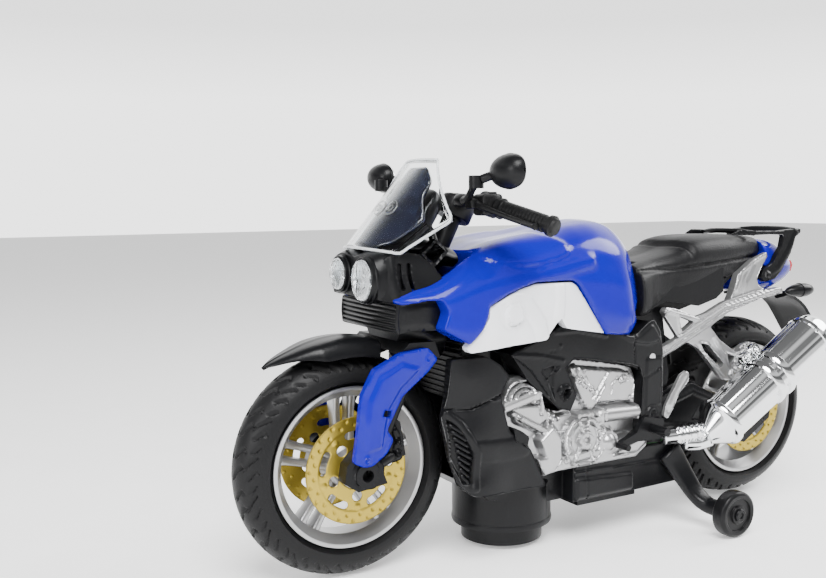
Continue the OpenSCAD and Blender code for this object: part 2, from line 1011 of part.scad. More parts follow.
// Cup and drum that turn together, with the bearing plate, a post and the idler's pin.
module turret_base()
    color("#18191b")
        translate([turret_x, 0, 0]) {
            difference() {
                union() {
                    translate([0, 0, 1.6])
                        cylinder(h = 8.2, r = turret_r, $fn = 96);
                    translate([0, 0, 9.6])
                        cylinder(h = 19.8, r = housing_r - 1.5, $fn = 96);
                }
                translate([0, 0, 3.2])
                    cylinder(h = 40, r = turret_r - 1.6, $fn = 96);
                for (s = [-1, 1])
                    translate([-drive_r - 0.6, s * 9.5 - 2.2, 0])
                        cube([2 * drive_r + 1.2, 4.4, 12]);
                translate([-4.2, gear_y - 1.3, 2.3])
                    cube([8.4, 2.6, 2]);
            }
            difference() {
                translate([-5, -5.3, 3])
                    cube([10, 1, 25]);
                pin_y(0, drive_r, -7, 0, 1 + fit);
                pin_y(0, motor_z, -7, 0, 2.6);
            }
            difference() {
                translate([-3, 4.4, 3])
                    cube([6, 1, 7]);
                pin_y(0, drive_r, 0, 7, 1 + fit);
            }
            pin_y(0, idler_z, gear_y - gear_t / 2 - 0.3, -5, 1);
        }

// Spur gear drawn round Z with straight-sided teeth, turned by half a tooth if asked.
module gear(teeth, turn) {
    r = teeth * gear_module / 2;
    cylinder(h = gear_t, r = r - 0.62, center = true);
    for (i = [0:teeth - 1])
        rotate((i + turn) * 360 / teeth)
            linear_extrude(height = gear_t, center = true)
                polygon([
                    [r - 0.8, -0.42], [r + 0.38, -0.17], [r + 0.38, 0.17], [r - 0.8, 0.42]
                ]);
}

// Moves a shape drawn round Z to the gear plane at height z in the turret.
module in_gear_plane(z)
    translate([turret_x, gear_y, z])
        rotate([90, 0, 0])
            children();

// Small can motor with flat flanks and its front boss.
module motor()
    color("#b9bbbe")
        translate([turret_x, 0, 0]) {
            intersection() {
                pin_y(0, motor_z, -4.1, 12, 7.5);
                translate([-5.6, -20, 10])
                    cube([11.2, 40, 30]);
            }
            difference() {
                pin_y(0, motor_z, -5.2, -4, 2.4);
                pin_y(0, motor_z, -6, -3, 0.9);
            }
        }

module motor_pinion()
    color("#c9a64a")
        in_gear_plane(motor_z) {
            gear(pinion_teeth, 0);
            translate([0, 0, -2.4])
                cylinder(h = 3.8, r = 0.8);
        }

module idler_gear()
    color("#e8e4d8")
        in_gear_plane(idler_z)
            difference() {
                gear(idler_teeth, 0.5);
                cylinder(h = 5, r = 1 + fit, center = true);
            }

// Axle with its gear and the two drive wheels pressed on.
module drive_axle()
    color("#2a2a2c") {
        in_gear_plane(drive_r)
            gear(axle_teeth, 0);
        translate([turret_x, 0, drive_r])
            rotate([90, 0, 0]) {
                cylinder(h = 23, r = 1, center = true);
                for (s = [-1, 1])
                    translate([0, 0, s * 9.5])
                        cylinder(h = 3.4, r = drive_r, center = true);
            }
    }

module fork_cover_left()
    fork_cover(1);

module fork_cover_right()
    fork_cover(-1);

// ---------- what is drawn ----------

frame_left();
frame_right();
tank_cover();
side_panels();
seat();
seat_base();
subframe_left();
subframe_right();
tail_cowl();
grab_rail();
tail_lamp();
plate_bracket();
rear_indicators();
engine_left();
engine_right();
fairing_left();
fairing_right();
belly_pan();
battery_cover();
battery_cells();
circuit_board();
speaker();
power_switch();
swingarm();
rear_axle();
muffler();
exhaust_pipe();
heel_guards();
foot_controls();
stabilizer_arms();
screws();
headlight_housing();
headlight_reflectors();
headlight_lenses();
nose_grille();
nose_cover();
windscreen();
instrument_panel();
fork_yoke();
handlebar();
fork_cover_left();
fork_cover_right();
fork_feet();
front_fender();
front_axle();
front_tyre();
front_rim();
front_discs();
rear_tyre();
rear_rim();
rear_disc();
mirror_left();
mirror_right();
stabilizer_wheel_left();
stabilizer_wheel_right();
turret_base();
motor();
motor_pinion();
idler_gear();
drive_axle();
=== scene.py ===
"""Looks for the toy motorcycle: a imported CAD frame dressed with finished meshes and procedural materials."""
import json
import math

import bmesh
import bpy
import numpy as np
from mathutils import Matrix, Vector, geometry


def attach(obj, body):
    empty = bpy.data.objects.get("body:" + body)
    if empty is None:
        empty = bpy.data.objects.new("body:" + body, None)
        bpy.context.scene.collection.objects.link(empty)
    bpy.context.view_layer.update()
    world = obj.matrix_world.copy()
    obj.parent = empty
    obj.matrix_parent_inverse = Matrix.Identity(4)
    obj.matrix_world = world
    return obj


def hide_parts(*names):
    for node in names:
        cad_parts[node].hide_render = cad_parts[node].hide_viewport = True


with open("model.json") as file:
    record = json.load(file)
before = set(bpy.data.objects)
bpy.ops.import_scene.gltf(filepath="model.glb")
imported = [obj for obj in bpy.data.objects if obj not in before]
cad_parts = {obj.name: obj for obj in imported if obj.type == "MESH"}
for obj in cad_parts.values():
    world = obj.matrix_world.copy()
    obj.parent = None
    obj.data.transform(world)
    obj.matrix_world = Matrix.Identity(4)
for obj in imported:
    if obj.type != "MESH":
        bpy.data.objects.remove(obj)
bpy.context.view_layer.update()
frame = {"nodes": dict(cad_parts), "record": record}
NODES = frame["nodes"]
MM = 0.001

# The picture's viewpoint: the camera's right and up, its place in metres, lens and shift.
CAMERA_RIGHT = Vector((-0.8601952, 0.5098813, -0.0092344))
CAMERA_UP = Vector((-0.0830265, -0.1221576, 0.9890319))
CAMERA_PLACE = (0.2399, 0.3040, 0.1313)
SENSOR_MM = 36
LENS_MM = 42.08
SHIFT = (-0.0327, 0.0678)

# The sky's strength from straight down (0) to straight up (1): dark bands low down and overhead, for the chrome.
SKY_BANDS = [(0.0, 1.1), (0.1, 1.1), (0.17, 0.22), (0.36, 0.14), (0.44, 1.0), (0.6, 0.9), (0.76, 0.2), (1.0, 0.2)]
BACKDROP_TOWARD = (-0.62, -0.78, -0.35)
BACKDROP_FROM, BACKDROP_TO, BACKDROP_STRENGTH = 0.2, 0.6, 1.9
FLOOR_GLOW = 0.35


# ---------- camera, floor and light ----------

def make_camera():
    """A camera low at the machine's front left, as a catalogue picture is taken."""
    data = bpy.data.cameras.new("camera")
    camera = bpy.data.objects.new("camera", data)
    bpy.context.collection.objects.link(camera)
    turn = Matrix((CAMERA_RIGHT, CAMERA_UP, CAMERA_RIGHT.cross(CAMERA_UP))).transposed().to_4x4()
    camera.matrix_world = Matrix.Translation(CAMERA_PLACE) @ turn
    data.sensor_width = SENSOR_MM
    data.lens = LENS_MM
    data.shift_x, data.shift_y = SHIFT
    data.clip_start = 0.01
    bpy.context.scene.camera = camera


def area_light(name, place, target, size, power):
    data = bpy.data.lights.new(name, "AREA")
    data.shape = "DISK"
    data.size = size
    data.energy = power
    light = bpy.data.objects.new(name, data)
    light.location = place
    light.rotation_euler = (Vector(target) - Vector(place)).to_track_quat("-Z", "Y").to_euler()
    bpy.context.collection.objects.link(light)


def make_studio():
    """A pale floor and a white backdrop behind it, a banded sky, one broad key, a fill and a rim light."""
    world = bpy.data.worlds.new("studio")
    world.use_nodes = True
    nodes = world.node_tree.nodes
    links = world.node_tree.links
    sky = nodes["Background"]
    sky.inputs["Color"].default_value = (1, 1, 1, 1)
    place = nodes.new("ShaderNodeTexCoord")
    split = nodes.new("ShaderNodeSeparateXYZ")
    bands = nodes.new("ShaderNodeValToRGB")
    while len(bands.color_ramp.elements) < len(SKY_BANDS):
        bands.color_ramp.elements.new(0.5)
    for stop, (at, value) in zip(bands.color_ramp.elements, SKY_BANDS):
        stop.position = at
        stop.color = (value, value, value, 1)
    toward = nodes.new("ShaderNodeVectorMath")
    toward.operation = "DOT_PRODUCT"
    toward.inputs[1].default_value = BACKDROP_TOWARD
    backdrop = nodes.new("ShaderNodeMapRange")
    backdrop.inputs["From Min"].default_value = BACKDROP_FROM
    backdrop.inputs["From Max"].default_value = BACKDROP_TO
    backdrop.inputs["To Max"].default_value = BACKDROP_STRENGTH
    total = nodes.new("ShaderNodeMath")
    total.operation = "ADD"
    links.new(place.outputs["Generated"], split.inputs["Vector"])
    links.new(place.outputs["Generated"], toward.inputs[0])
    links.new(split.outputs["Z"], bands.inputs["Fac"])
    links.new(toward.outputs["Value"], backdrop.inputs["Value"])
    links.new(bands.outputs["Color"], total.inputs[0])
    links.new(backdrop.outputs["Result"], total.inputs[1])
    links.new(total.outputs["Value"], sky.inputs["Strength"])
    bpy.context.scene.world = world
    area_light("key", (0.25, 0.5, 0.8), (0, 0, 0.05), 0.6, 19)
    area_light("front_fill", (0.9, 0.25, 0.35), (0.05, 0, 0.06), 0.4, 5)
    area_light("back_rim", (-0.6, 0.1, 0.5), (-0.05, 0, 0.08), 0.4, 5)
    bpy.ops.mesh.primitive_plane_add(size=8, location=(0, 0, -0.0002))
    floor = bpy.context.object
    floor.name = "floor"
    floor.data.materials.append(surface("floor", (0.93, 0.93, 0.93), 0.7, grain=60, bump=0.0))
    glow = floor.data.materials[0].node_tree.nodes["Principled BSDF"]
    glow.inputs["Emission Color"].default_value = (1, 1, 1, 1)
    glow.inputs["Emission Strength"].default_value = FLOOR_GLOW


# ---------- materials ----------

def surface(name, color, rough, metal=0.0, coat=0.0, grain=900, bump=0.02, vary=0.06, spread=0.05,
            clear=0.0, ior=1.5, level=0.5):
    """A procedural material: drifting colour, uneven gloss and a fine grain in the bump."""
    mat = bpy.data.materials.new(name)
    mat.use_nodes = True
    nodes = mat.node_tree.nodes
    links = mat.node_tree.links
    shader = nodes["Principled BSDF"]
    shader.inputs["Metallic"].default_value = metal
    shader.inputs["Coat Weight"].default_value = coat
    shader.inputs["Coat Roughness"].default_value = 0.05
    shader.inputs["IOR"].default_value = ior
    shader.inputs["Specular IOR Level"].default_value = level
    shader.inputs["Transmission Weight"].default_value = clear
    place = nodes.new("ShaderNodeTexCoord")
    broad = nodes.new("ShaderNodeTexNoise")
    broad.inputs["Scale"].default_value = 45
    broad.inputs["Detail"].default_value = 3
    links.new(place.outputs["Object"], broad.inputs["Vector"])
    tint = nodes.new("ShaderNodeMix")
    tint.data_type = "RGBA"
    tint.inputs[6].default_value = (*[c * (1 - vary) for c in color], 1)
    tint.inputs[7].default_value = (*[min(1, c * (1 + vary)) for c in color], 1)
    links.new(broad.outputs["Fac"], tint.inputs[0])
    links.new(tint.outputs[2], shader.inputs["Base Color"])
    gloss = nodes.new("ShaderNodeMapRange")
    gloss.inputs["To Min"].default_value = max(0.0, rough - spread)
    gloss.inputs["To Max"].default_value = min(1.0, rough + spread)
    links.new(broad.outputs["Fac"], gloss.inputs["Value"])
    links.new(gloss.outputs["Result"], shader.inputs["Roughness"])
    if bump > 0:
        fine = nodes.new("ShaderNodeTexNoise")
        fine.inputs["Scale"].default_value = grain
        fine.inputs["Detail"].default_value = 4
        links.new(place.outputs["Object"], fine.inputs["Vector"])
        relief = nodes.new("ShaderNodeBump")
        relief.inputs["Strength"].default_value = min(1.0, bump * 5)
        relief.inputs["Distance"].default_value = 0.0002
        links.new(fine.outputs["Fac"], relief.inputs["Height"])
        links.new(relief.outputs["Normal"], shader.inputs["Normal"])
    return mat


def looks():
    """Every material of the machine, by the record's slot name."""
    return {
        "black_plastic": surface("satin_black", (0.004, 0.0041, 0.0047), 0.34, bump=0.05, level=0.16),
        "fairing_black": surface("moulded_black", (0.004, 0.0041, 0.0048), 0.3, bump=0.05, level=0.18),
        "blue_gloss": surface("royal_blue", (0.004, 0.0003, 0.26), 0.15, coat=0.12, bump=0.006, vary=0.04, level=0.14),
        "white_gloss": surface("gloss_white", (0.82, 0.83, 0.86), 0.2, coat=0.6, bump=0.006, vary=0.02),
        "seat_grey": surface("seat_skin", (0.005, 0.005, 0.0056), 0.46, grain=1400, bump=0.14, level=0.16),
        "silver_paint": surface("silver_paint", (0.4, 0.4, 0.405), 0.3, metal=0.85, grain=2500, bump=0.03),
        "gold_disc": surface("pale_gold", (0.42, 0.31, 0.045), 0.34, metal=0.85, grain=1800, bump=0.03),
        "chrome_trim": surface("chrome", (0.78, 0.79, 0.8), 0.09, metal=1.0, grain=300, bump=0.01, vary=0.02),
        "clear_plastic": surface("clear_sheet", (0.95, 0.97, 0.98), 0.03, clear=1.0, bump=0.0, vary=0.01,
                                 spread=0.02, ior=1.25),
        "clear_edge": surface("polished_edge", (0.9, 0.93, 0.95), 0.12, clear=0.5, bump=0.0, vary=0.02),
        "mask_navy": surface("mask_navy", (0.006, 0.008, 0.02), 0.2, coat=0.3, bump=0.01),
        "red_lens": surface("red_lens", (0.42, 0.008, 0.008), 0.15, coat=0.6, bump=0.0),
        "tyre_rubber": surface("tyre_rubber", (0.005, 0.005, 0.0054), 0.46, grain=1500, bump=0.08, level=0.18),
        "grip_black": surface("grip_black", (0.005, 0.005, 0.0054), 0.42, grain=1500, bump=0.1, level=0.18),
        "wheel_black": surface("outrigger_black", (0.0045, 0.0045, 0.005), 0.33, bump=0.04, level=0.18),
        "steel": surface("steel", (0.55, 0.55, 0.56), 0.3, metal=1.0, grain=1600, bump=0.04),
        "brass_gear": surface("brass", (0.68, 0.48, 0.18), 0.3, metal=1.0, bump=0.03),
        "white_nylon": surface("nylon", (0.75, 0.72, 0.62), 0.45, bump=0.03),
        "drive_rubber": surface("drive_rubber", (0.02, 0.02, 0.02), 0.6, bump=0.1),
        "circuit_green": surface("solder_mask", (0.012, 0.12, 0.03), 0.3, bump=0.03),
        "speaker_grey": surface("speaker_grey", (0.04, 0.04, 0.042), 0.6, bump=0.1),
        "cell_wrap": surface("cell_wrap", (0.08, 0.25, 0.09), 0.25, coat=0.4, bump=0.01),
        "switch_red": surface("switch_red", (0.4, 0.012, 0.012), 0.3, bump=0.02),
    }


# ---------- mesh tools; lengths are in millimetres ----------

def add_bevel(obj, width, angle, segments=2):
    """Rounds edges sharper than the angle."""
    bevel = obj.modifiers.new("bevel", "BEVEL")
    bevel.width = width * MM
    bevel.segments = segments
    bevel.limit_method = "ANGLE"
    bevel.angle_limit = math.radians(angle)


def even_shading(obj):
    """Smooth shading whose normals follow the larger faces."""
    normals = obj.modifiers.new("normals", "WEIGHTED_NORMAL")
    normals.keep_sharp = True
    for face in obj.data.polygons:
        face.use_smooth = True


def soften(obj, width):
    """Welds the mesh, rounds its sharp edges and evens the shading."""
    weld = obj.modifiers.new("weld", "WELD")
    weld.merge_threshold = 0.00001
    add_bevel(obj, width, 34)
    even_shading(obj)


def thicken(obj, thickness):
    """Gives a sheet its thickness, to one side of it."""
    thick = obj.modifiers.new("thick", "SOLIDIFY")
    thick.thickness = thickness * MM
    thick.offset = -1
    return baked(obj)


def new_object(name, mesh):
    obj = bpy.data.objects.new(name, mesh)
    bpy.context.collection.objects.link(obj)
    return obj


def mesh_from(name, points, faces, smooth=True):
    """An object from points in millimetres and faces as index tuples."""
    mesh = bpy.data.meshes.new(name)
    mesh.from_pydata([(x * MM, y * MM, z * MM) for x, y, z in points], [], faces)
    mesh.validate()
    bm = bmesh.new()
    bm.from_mesh(mesh)
    bmesh.ops.recalc_face_normals(bm, faces=bm.faces)
    bm.to_mesh(mesh)
    bm.free()
    for face in mesh.polygons:
        face.use_smooth = smooth
    return new_object(name, mesh)


def baked(obj):
    """Applies the object's modifiers to its mesh."""
    depsgraph = bpy.context.evaluated_depsgraph_get()
    mesh = bpy.data.meshes.new_from_object(obj.evaluated_get(depsgraph))
    obj.modifiers.clear()
    obj.data = mesh
    return obj


def boolean(obj, tool, operation):
    """Cuts the tool from the object, or keeps what they share, and removes the tool."""
    step = obj.modifiers.new("cut", "BOOLEAN")
    step.object = tool
    step.operation = operation
    step.solver = "EXACT"
    baked(obj)
    bpy.data.objects.remove(tool)
    return obj


def join(name, objs):
    """One object from several, keeping their materials."""
    bm = bmesh.new()
    mats = []
    for obj in objs:
        baked(obj)
        start = len(bm.faces)
        bm.from_mesh(obj.data)
        bm.faces.ensure_lookup_table()
        for face in bm.faces[start:]:
            mat = obj.data.materials[face.material_index] if obj.data.materials else None
            if mat not in mats:
                mats.append(mat)
            face.material_index = mats.index(mat)
        bpy.data.objects.remove(obj)
    mesh = bpy.data.meshes.new(name)
    bm.to_mesh(mesh)
    bm.free()
    for mat in mats:
        if mat:
            mesh.materials.append(mat)
    return new_object(name, mesh)


def mirrored(name, obj):
    """A copy on the other side of the middle plane."""
    bm = bmesh.new()
    bm.from_mesh(baked(obj).data)
    for vert in bm.verts:
        vert.co.y = -vert.co.y
    bmesh.ops.reverse_faces(bm, faces=bm.faces)
    mesh = bpy.data.meshes.new(name)
    bm.to_mesh(mesh)
    bm.free()
    for mat in obj.data.materials:
        mesh.materials.append(mat)
    return new_object(name, mesh)


def paint(obj, slot):
    """Gives the whole mesh its slot's material."""
    obj.data.materials.clear()
    obj.data.materials.append(MATS[slot])
    return obj


def place(obj, body, slot, nodes=()):
    """Rides on a body, takes a slot and stands for CAD nodes."""
    if not obj.data.materials:
        paint(obj, slot)
    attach(obj, body)
    if nodes:
        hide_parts(*nodes)
    return obj


def dress(obj, slot, nodes=(), body="chassis"):
    """Paints a piece in its slot's finish and places it."""
    return place(paint(obj, slot), body, slot, nodes)


def both_sides(name, half, slot, nodes=(), body="chassis"):
    """One piece from a left half and its mirror image."""
    paint(half, slot)
    return place(join(name, [half, mirrored("other", half)]), body, slot, nodes)


def left_and_right(left, slot, name, nodes, body="chassis"):
    """A left piece and its mirror image, as two pieces that stand for a left and a right node."""
    paint(left, slot)
    right = mirrored(name + "_right", left)
    place(left, body, slot, [nodes + "_left"])
    place(right, body, slot, [nodes + "_right"])


def remeshed(obj, voxel, smooth):
    """One even skin over everything in the object, with softened edges."""
    step = obj.modifiers.new("remesh", "REMESH")
    step.mode = "VOXEL"
    step.voxel_size = voxel * MM
    step.use_smooth_shade = True
    ease = obj.modifiers.new("ease", "SMOOTH")
    ease.iterations = smooth
    return baked(obj)


def spline(points, per_span):
    """Catmull-Rom points through a list of points of any dimension."""
    p = np.array(points, dtype=float)
    n = len(p)
    out = []
    for i in range(n - 1):
        a, b, c, d = p[max(i - 1, 0)], p[i], p[i + 1], p[min(i + 2, n - 1)]
        for k in range(per_span):
            t = k / per_span
            out.append(0.5 * (2 * b + (c - a) * t + (2 * a - 5 * b + 4 * c - d) * t * t
                              + (3 * b - a - 3 * c + d) * t ** 3))
    out.append(p[-1])
    return np.array(out)


def grid_faces(rows, columns, wrap_rows=False, wrap_columns=True, ends=None):
    """Four-sided faces between the rows of a grid of points.

    With ends, a face also closes the first and the last row, each in the given direction, 1 or -1.
    """
    faces = []
    for i in range(rows if wrap_rows else rows - 1):
        j = (i + 1) % rows
        for k in range(columns if wrap_columns else columns - 1):
            m = (k + 1) % columns
            faces.append((i * columns + k, i * columns + m, j * columns + m, j * columns + k))
    if ends:
        last = tuple((rows - 1) * columns + k for k in range(columns))
        faces += [tuple(range(columns))[::ends[0]], last[::ends[1]]]
    return faces


def loft(name, stations, around, along, bend=None):
    """A closed body from half sections: each station is (x, [(y, z), ...]) from bottom to top."""
    rings = [spline([(x, y, z) for y, z in half], around) for x, half in stations]
    count = len(rings[0])
    grid = np.stack([spline([ring[k] for ring in rings], along) for k in range(count)], axis=1)
    if bend:
        grid = bend(grid)
    points = []
    for ring in grid:
        left = [tuple(p) for p in ring]
        right = [(p[0], -p[1], p[2]) for p in ring[::-1]]
        points += left + right
    obj = mesh_from(name, points, grid_faces(len(grid), 2 * count, ends=(1, -1)))
    weld = obj.modifiers.new("weld", "WELD")
    weld.merge_threshold = 0.00002
    return baked(obj)


def rounded(outline, radius, steps=4):
    """The outline with each corner turned into a small curve."""
    out = []
    n = len(outline)
    for i in range(n):
        p = Vector(outline[i])
        a = Vector(outline[i - 1]) - p
        b = Vector(outline[(i + 1) % n]) - p
        r = min(radius, a.length * 0.45, b.length * 0.45)
        start = p + a.normalized() * r
        end = p + b.normalized() * r
        for k in range(steps + 1):
            t = k / steps
            out.append(tuple(start * (1 - t) ** 2 + p * 2 * t * (1 - t) + end * t * t))
    return out


def prism(name, outline, y0, y1):
    """A side-view outline (x, z) carried from y0 to y1."""
    n = len(outline)
    points = [(x, y0, z) for x, z in outline] + [(x, y1, z) for x, z in outline]
    faces = [tuple(range(n)), tuple(range(2 * n - 1, n - 1, -1))]
    faces += [(i, (i + 1) % n, n + (i + 1) % n, n + i) for i in range(n)]
    return mesh_from(name, points, faces, smooth=False)


def inside(outline, x, z):
    """Whether each point is inside the outline."""
    hit = np.zeros(np.shape(x), dtype=bool)
    n = len(outline)
    for i in range(n):
        x1, z1 = outline[i]
        x2, z2 = outline[(i + 1) % n]
        if z1 == z2:
            continue
        hit ^= ((z1 > z) != (z2 > z)) & (x < (x2 - x1) * (z - z1) / (z2 - z1) + x1)
    return hit


def edge_distance(line, x, z, closed=True):
    """Distance from each point to a line of points."""
    best = np.full(np.shape(x), 1e9)
    n = len(line)
    for i in range(n if closed else n - 1):
        x1, z1 = line[i]
        x2, z2 = line[(i + 1) % n]
        dx, dz = x2 - x1, z2 - z1
        span = dx * dx + dz * dz
        t = np.clip(((x - x1) * dx + (z - z1) * dz) / max(span, 1e-9), 0, 1)
        best = np.minimum(best, np.hypot(x - x1 - t * dx, z - z1 - t * dz))
    return best


def ramp(t):
    """A smooth rise from 0 to 1."""
    t = np.clip(t, 0, 1)
    return t * t * (3 - 2 * t)


# Shapes on a moulded panel: each gives a height at (x, z), and a negative one is cut in.

def flush(x, z):
    """The panel's own surface: the least height where only some of it is raised."""
    return 0 * x


def disc(cx, cz, r, h, edge=0.5):
    """A round flat boss; edge is the width of its slope."""
    return lambda x, z: h * ramp((r - np.hypot(x - cx, z - cz)) / edge)


def ring(cx, cz, r, width, h):
    """A round rib of the given width."""
    return lambda x, z: h * ramp((width / 2 - abs(np.hypot(x - cx, z - cz) - r)) / 0.35)


def slab(outline, h, edge):
    """A flat field inside an outline."""
    return lambda x, z: np.where(inside(outline, x, z), h * ramp(edge_distance(outline, x, z) / edge), 0)


def bar(line, r, h, flat=0.0):
    """A half-round bar along a line of points."""
    def height(x, z):
        d = edge_distance(line, x, z, closed=False)
        return np.where(d < r, h * np.sqrt(np.clip(1 - (np.clip(d - flat, 0, r) / r) ** 2, 0, 1)), 0)
    return height


def groove(line, r, depth):
    """A channel along a line of points."""
    return lambda x, z: -depth * ramp((r - edge_distance(line, x, z, closed=False)) / (r * 0.8))


def dome(cx, cz, r, h):
    """A round cap, highest in its middle."""
    return lambda x, z: h * np.sqrt(np.clip(1 - ((x - cx) ** 2 + (z - cz) ** 2) / (r * r), 0, 1))


def relief(name, outline, base, back, raised, cut, step, holes=()):
    """A moulded panel on the left side.

    The side outline is filled with a fine even mesh at y = base(x, z), plus the highest of the
    raised shapes, plus every cut (a negative height), and closed by a flat back at y = back.
    """
    def sampled(line):
        out = []
        n = len(line)
        for i in range(n):
            a, b = Vector(line[i]), Vector(line[(i + 1) % n])
            k = max(1, int(round((b - a).length / step)))
            out += [tuple(a.lerp(b, j / k)) for j in range(k)]
        return out

    loops = [sampled(outline)] + [sampled(hole) for hole in holes]
    xs = [p[0] for p in outline]
    zs = [p[1] for p in outline]
    gx, gz = np.meshgrid(np.arange(min(xs), max(xs), step), np.arange(min(zs), max(zs), step))
    gx[1::2] += step / 2
    gx, gz = gx.ravel(), gz.ravel()
    keep = inside(outline, gx, gz)
    for loop in loops:
        keep &= edge_distance(loop, gx, gz) > step * 0.55
    for hole in holes:
        keep &= ~inside(hole, gx, gz)
    flat = [Vector(p) for loop in loops for p in loop] + [Vector(p) for p in zip(gx[keep], gz[keep])]
    edges = []
    start = 0
    for loop in loops:
        edges += [(start + i, start + (i + 1) % len(loop)) for i in range(len(loop))]
        start += len(loop)
    verts, _, tris, _, _, _ = geometry.delaunay_2d_cdt(flat, edges, [], 0, 1e-5)
    x = np.array([v[0] for v in verts])
    z = np.array([v[1] for v in verts])
    mid_x = np.array([x[list(t)].mean() for t in tris])
    mid_z = np.array([z[list(t)].mean() for t in tris])
    solid = inside(outline, mid_x, mid_z)
    for hole in holes:
        solid &= ~inside(hole, mid_x, mid_z)
    tris = [t for t, kept in zip(tris, solid) if kept]
    y = base(x, z) if callable(base) else np.full(len(x), float(base))
    if raised:
        y = y + np.maximum.reduce([shape(x, z) for shape in raised])
    for shape in cut:
        y = y + shape(x, z)
    n = len(x)
    points = list(zip(x, y, z)) + list(zip(x, np.minimum(float(back), y - 0.2), z))
    faces = [tuple(t) for t in tris] + [tuple(n + i for i in t[::-1]) for t in tris]
    seen = {(a, b): None for t in tris for a, b in zip(t, (*t[1:], t[0]))}
    faces += [(b, a, n + a, n + b) for a, b in seen if (b, a) not in seen]
    obj = mesh_from(name, points, faces)
    add_bevel(obj, 0.3, 60)
    even_shading(obj)
    return obj


def surface_through(spots):
    """A smooth y = f(x, z) through scattered (x, z, y) spots."""
    s = np.array(spots, dtype=float)

    def kernel(d2):
        return np.where(d2 > 0, 0.5 * d2 * np.log(np.maximum(d2, 1e-12)), 0)

    n = len(s)
    d2 = (s[:, None, 0] - s[None, :, 0]) ** 2 + (s[:, None, 1] - s[None, :, 1]) ** 2
    left = np.zeros((n + 3, n + 3))
    left[:n, :n] = kernel(d2) + np.eye(n) * 0.5
    left[:n, n:] = np.column_stack([np.ones(n), s[:, :2]])
    left[n:, :n] = left[:n, n:].T
    w = np.linalg.solve(left, np.concatenate([s[:, 2], np.zeros(3)]))

    def height(x, z):
        d2 = (np.asarray(x)[:, None] - s[None, :, 0]) ** 2 + (np.asarray(z)[:, None] - s[None, :, 1]) ** 2
        return kernel(d2) @ w[:n] + w[n] + w[n + 1] * x + w[n + 2] * z
    return height


def tube(name, points, radius, sides, per_span=6, profile=None, cap=True):
    """A round tube along a smooth path; radius is a number, or one for each point."""
    path = spline(points, per_span)
    count = len(path)
    radii = radius if isinstance(radius, (list, tuple)) else [radius] * len(points)
    sizes = np.interp(np.linspace(0, 1, count), np.linspace(0, 1, len(radii)), radii)
    if profile:
        sizes = sizes * np.array([profile(i / (count - 1)) for i in range(count)])
    verts = []
    tangent = [Vector(path[min(i + 1, count - 1)] - path[max(i - 1, 0)]).normalized() for i in range(count)]
    normal = tangent[0].orthogonal().normalized()
    for i in range(count):
        normal = (normal - tangent[i] * normal.dot(tangent[i])).normalized()
        side = tangent[i].cross(normal)
        for k in range(sides):
            a = 2 * math.pi * k / sides
            verts.append(tuple(Vector(path[i]) + (normal * math.cos(a) + side * math.sin(a)) * sizes[i]))
    return mesh_from(name, verts, grid_faces(count, sides, ends=(-1, 1) if cap else None))


def turned(name, profile, centre, axis, segments):
    """A solid of revolution: profile is (along, radius) points round axis through centre."""
    axis = Vector(axis).normalized()
    normal = axis.orthogonal().normalized()
    side = axis.cross(normal)
    centre = Vector(centre)
    verts = []
    for along, radius in profile:
        for k in range(segments):
            a = 2 * math.pi * k / segments
            verts.append(tuple(centre + axis * along + (normal * math.cos(a) + side * math.sin(a)) * radius))
    return split_sharp(mesh_from(name, verts, grid_faces(len(profile), segments, ends=(1, 1))), 40)


def split_sharp(obj, angle):
    """Marks edges sharper than the angle, so that shading breaks there."""
    bm = bmesh.new()
    bm.from_mesh(obj.data)
    for edge in bm.edges:
        if len(edge.link_faces) == 2 and edge.calc_face_angle() > math.radians(angle):
            edge.smooth = False
    bm.to_mesh(obj.data)
    bm.free()
    return obj


def block(name, low, high, round_by):
    """A box with well rounded edges, from one corner to the other."""
    bm = bmesh.new()
    bmesh.ops.create_cube(bm, size=1)
    for vert in bm.verts:
        for i in range(3):
            vert.co[i] = (high[i] if vert.co[i] > 0 else low[i]) * MM
    mesh = bpy.data.meshes.new(name)
    bm.to_mesh(mesh)
    bm.free()
    obj = new_object(name, mesh)
    add_bevel(obj, round_by, 30, segments=3)
    baked(obj)
    even_shading(obj)
    return baked(obj)


def moved(obj, turn=None, shift=(0, 0, 0)):
    """Turns the mesh by a matrix, then shifts it by millimetres."""
    matrix = Matrix.Translation(Vector(shift) * MM)
    if turn:
        matrix = matrix @ turn
    obj.data.transform(matrix)
    return obj

# ---------- tank, flank panels, seat and tail ----------

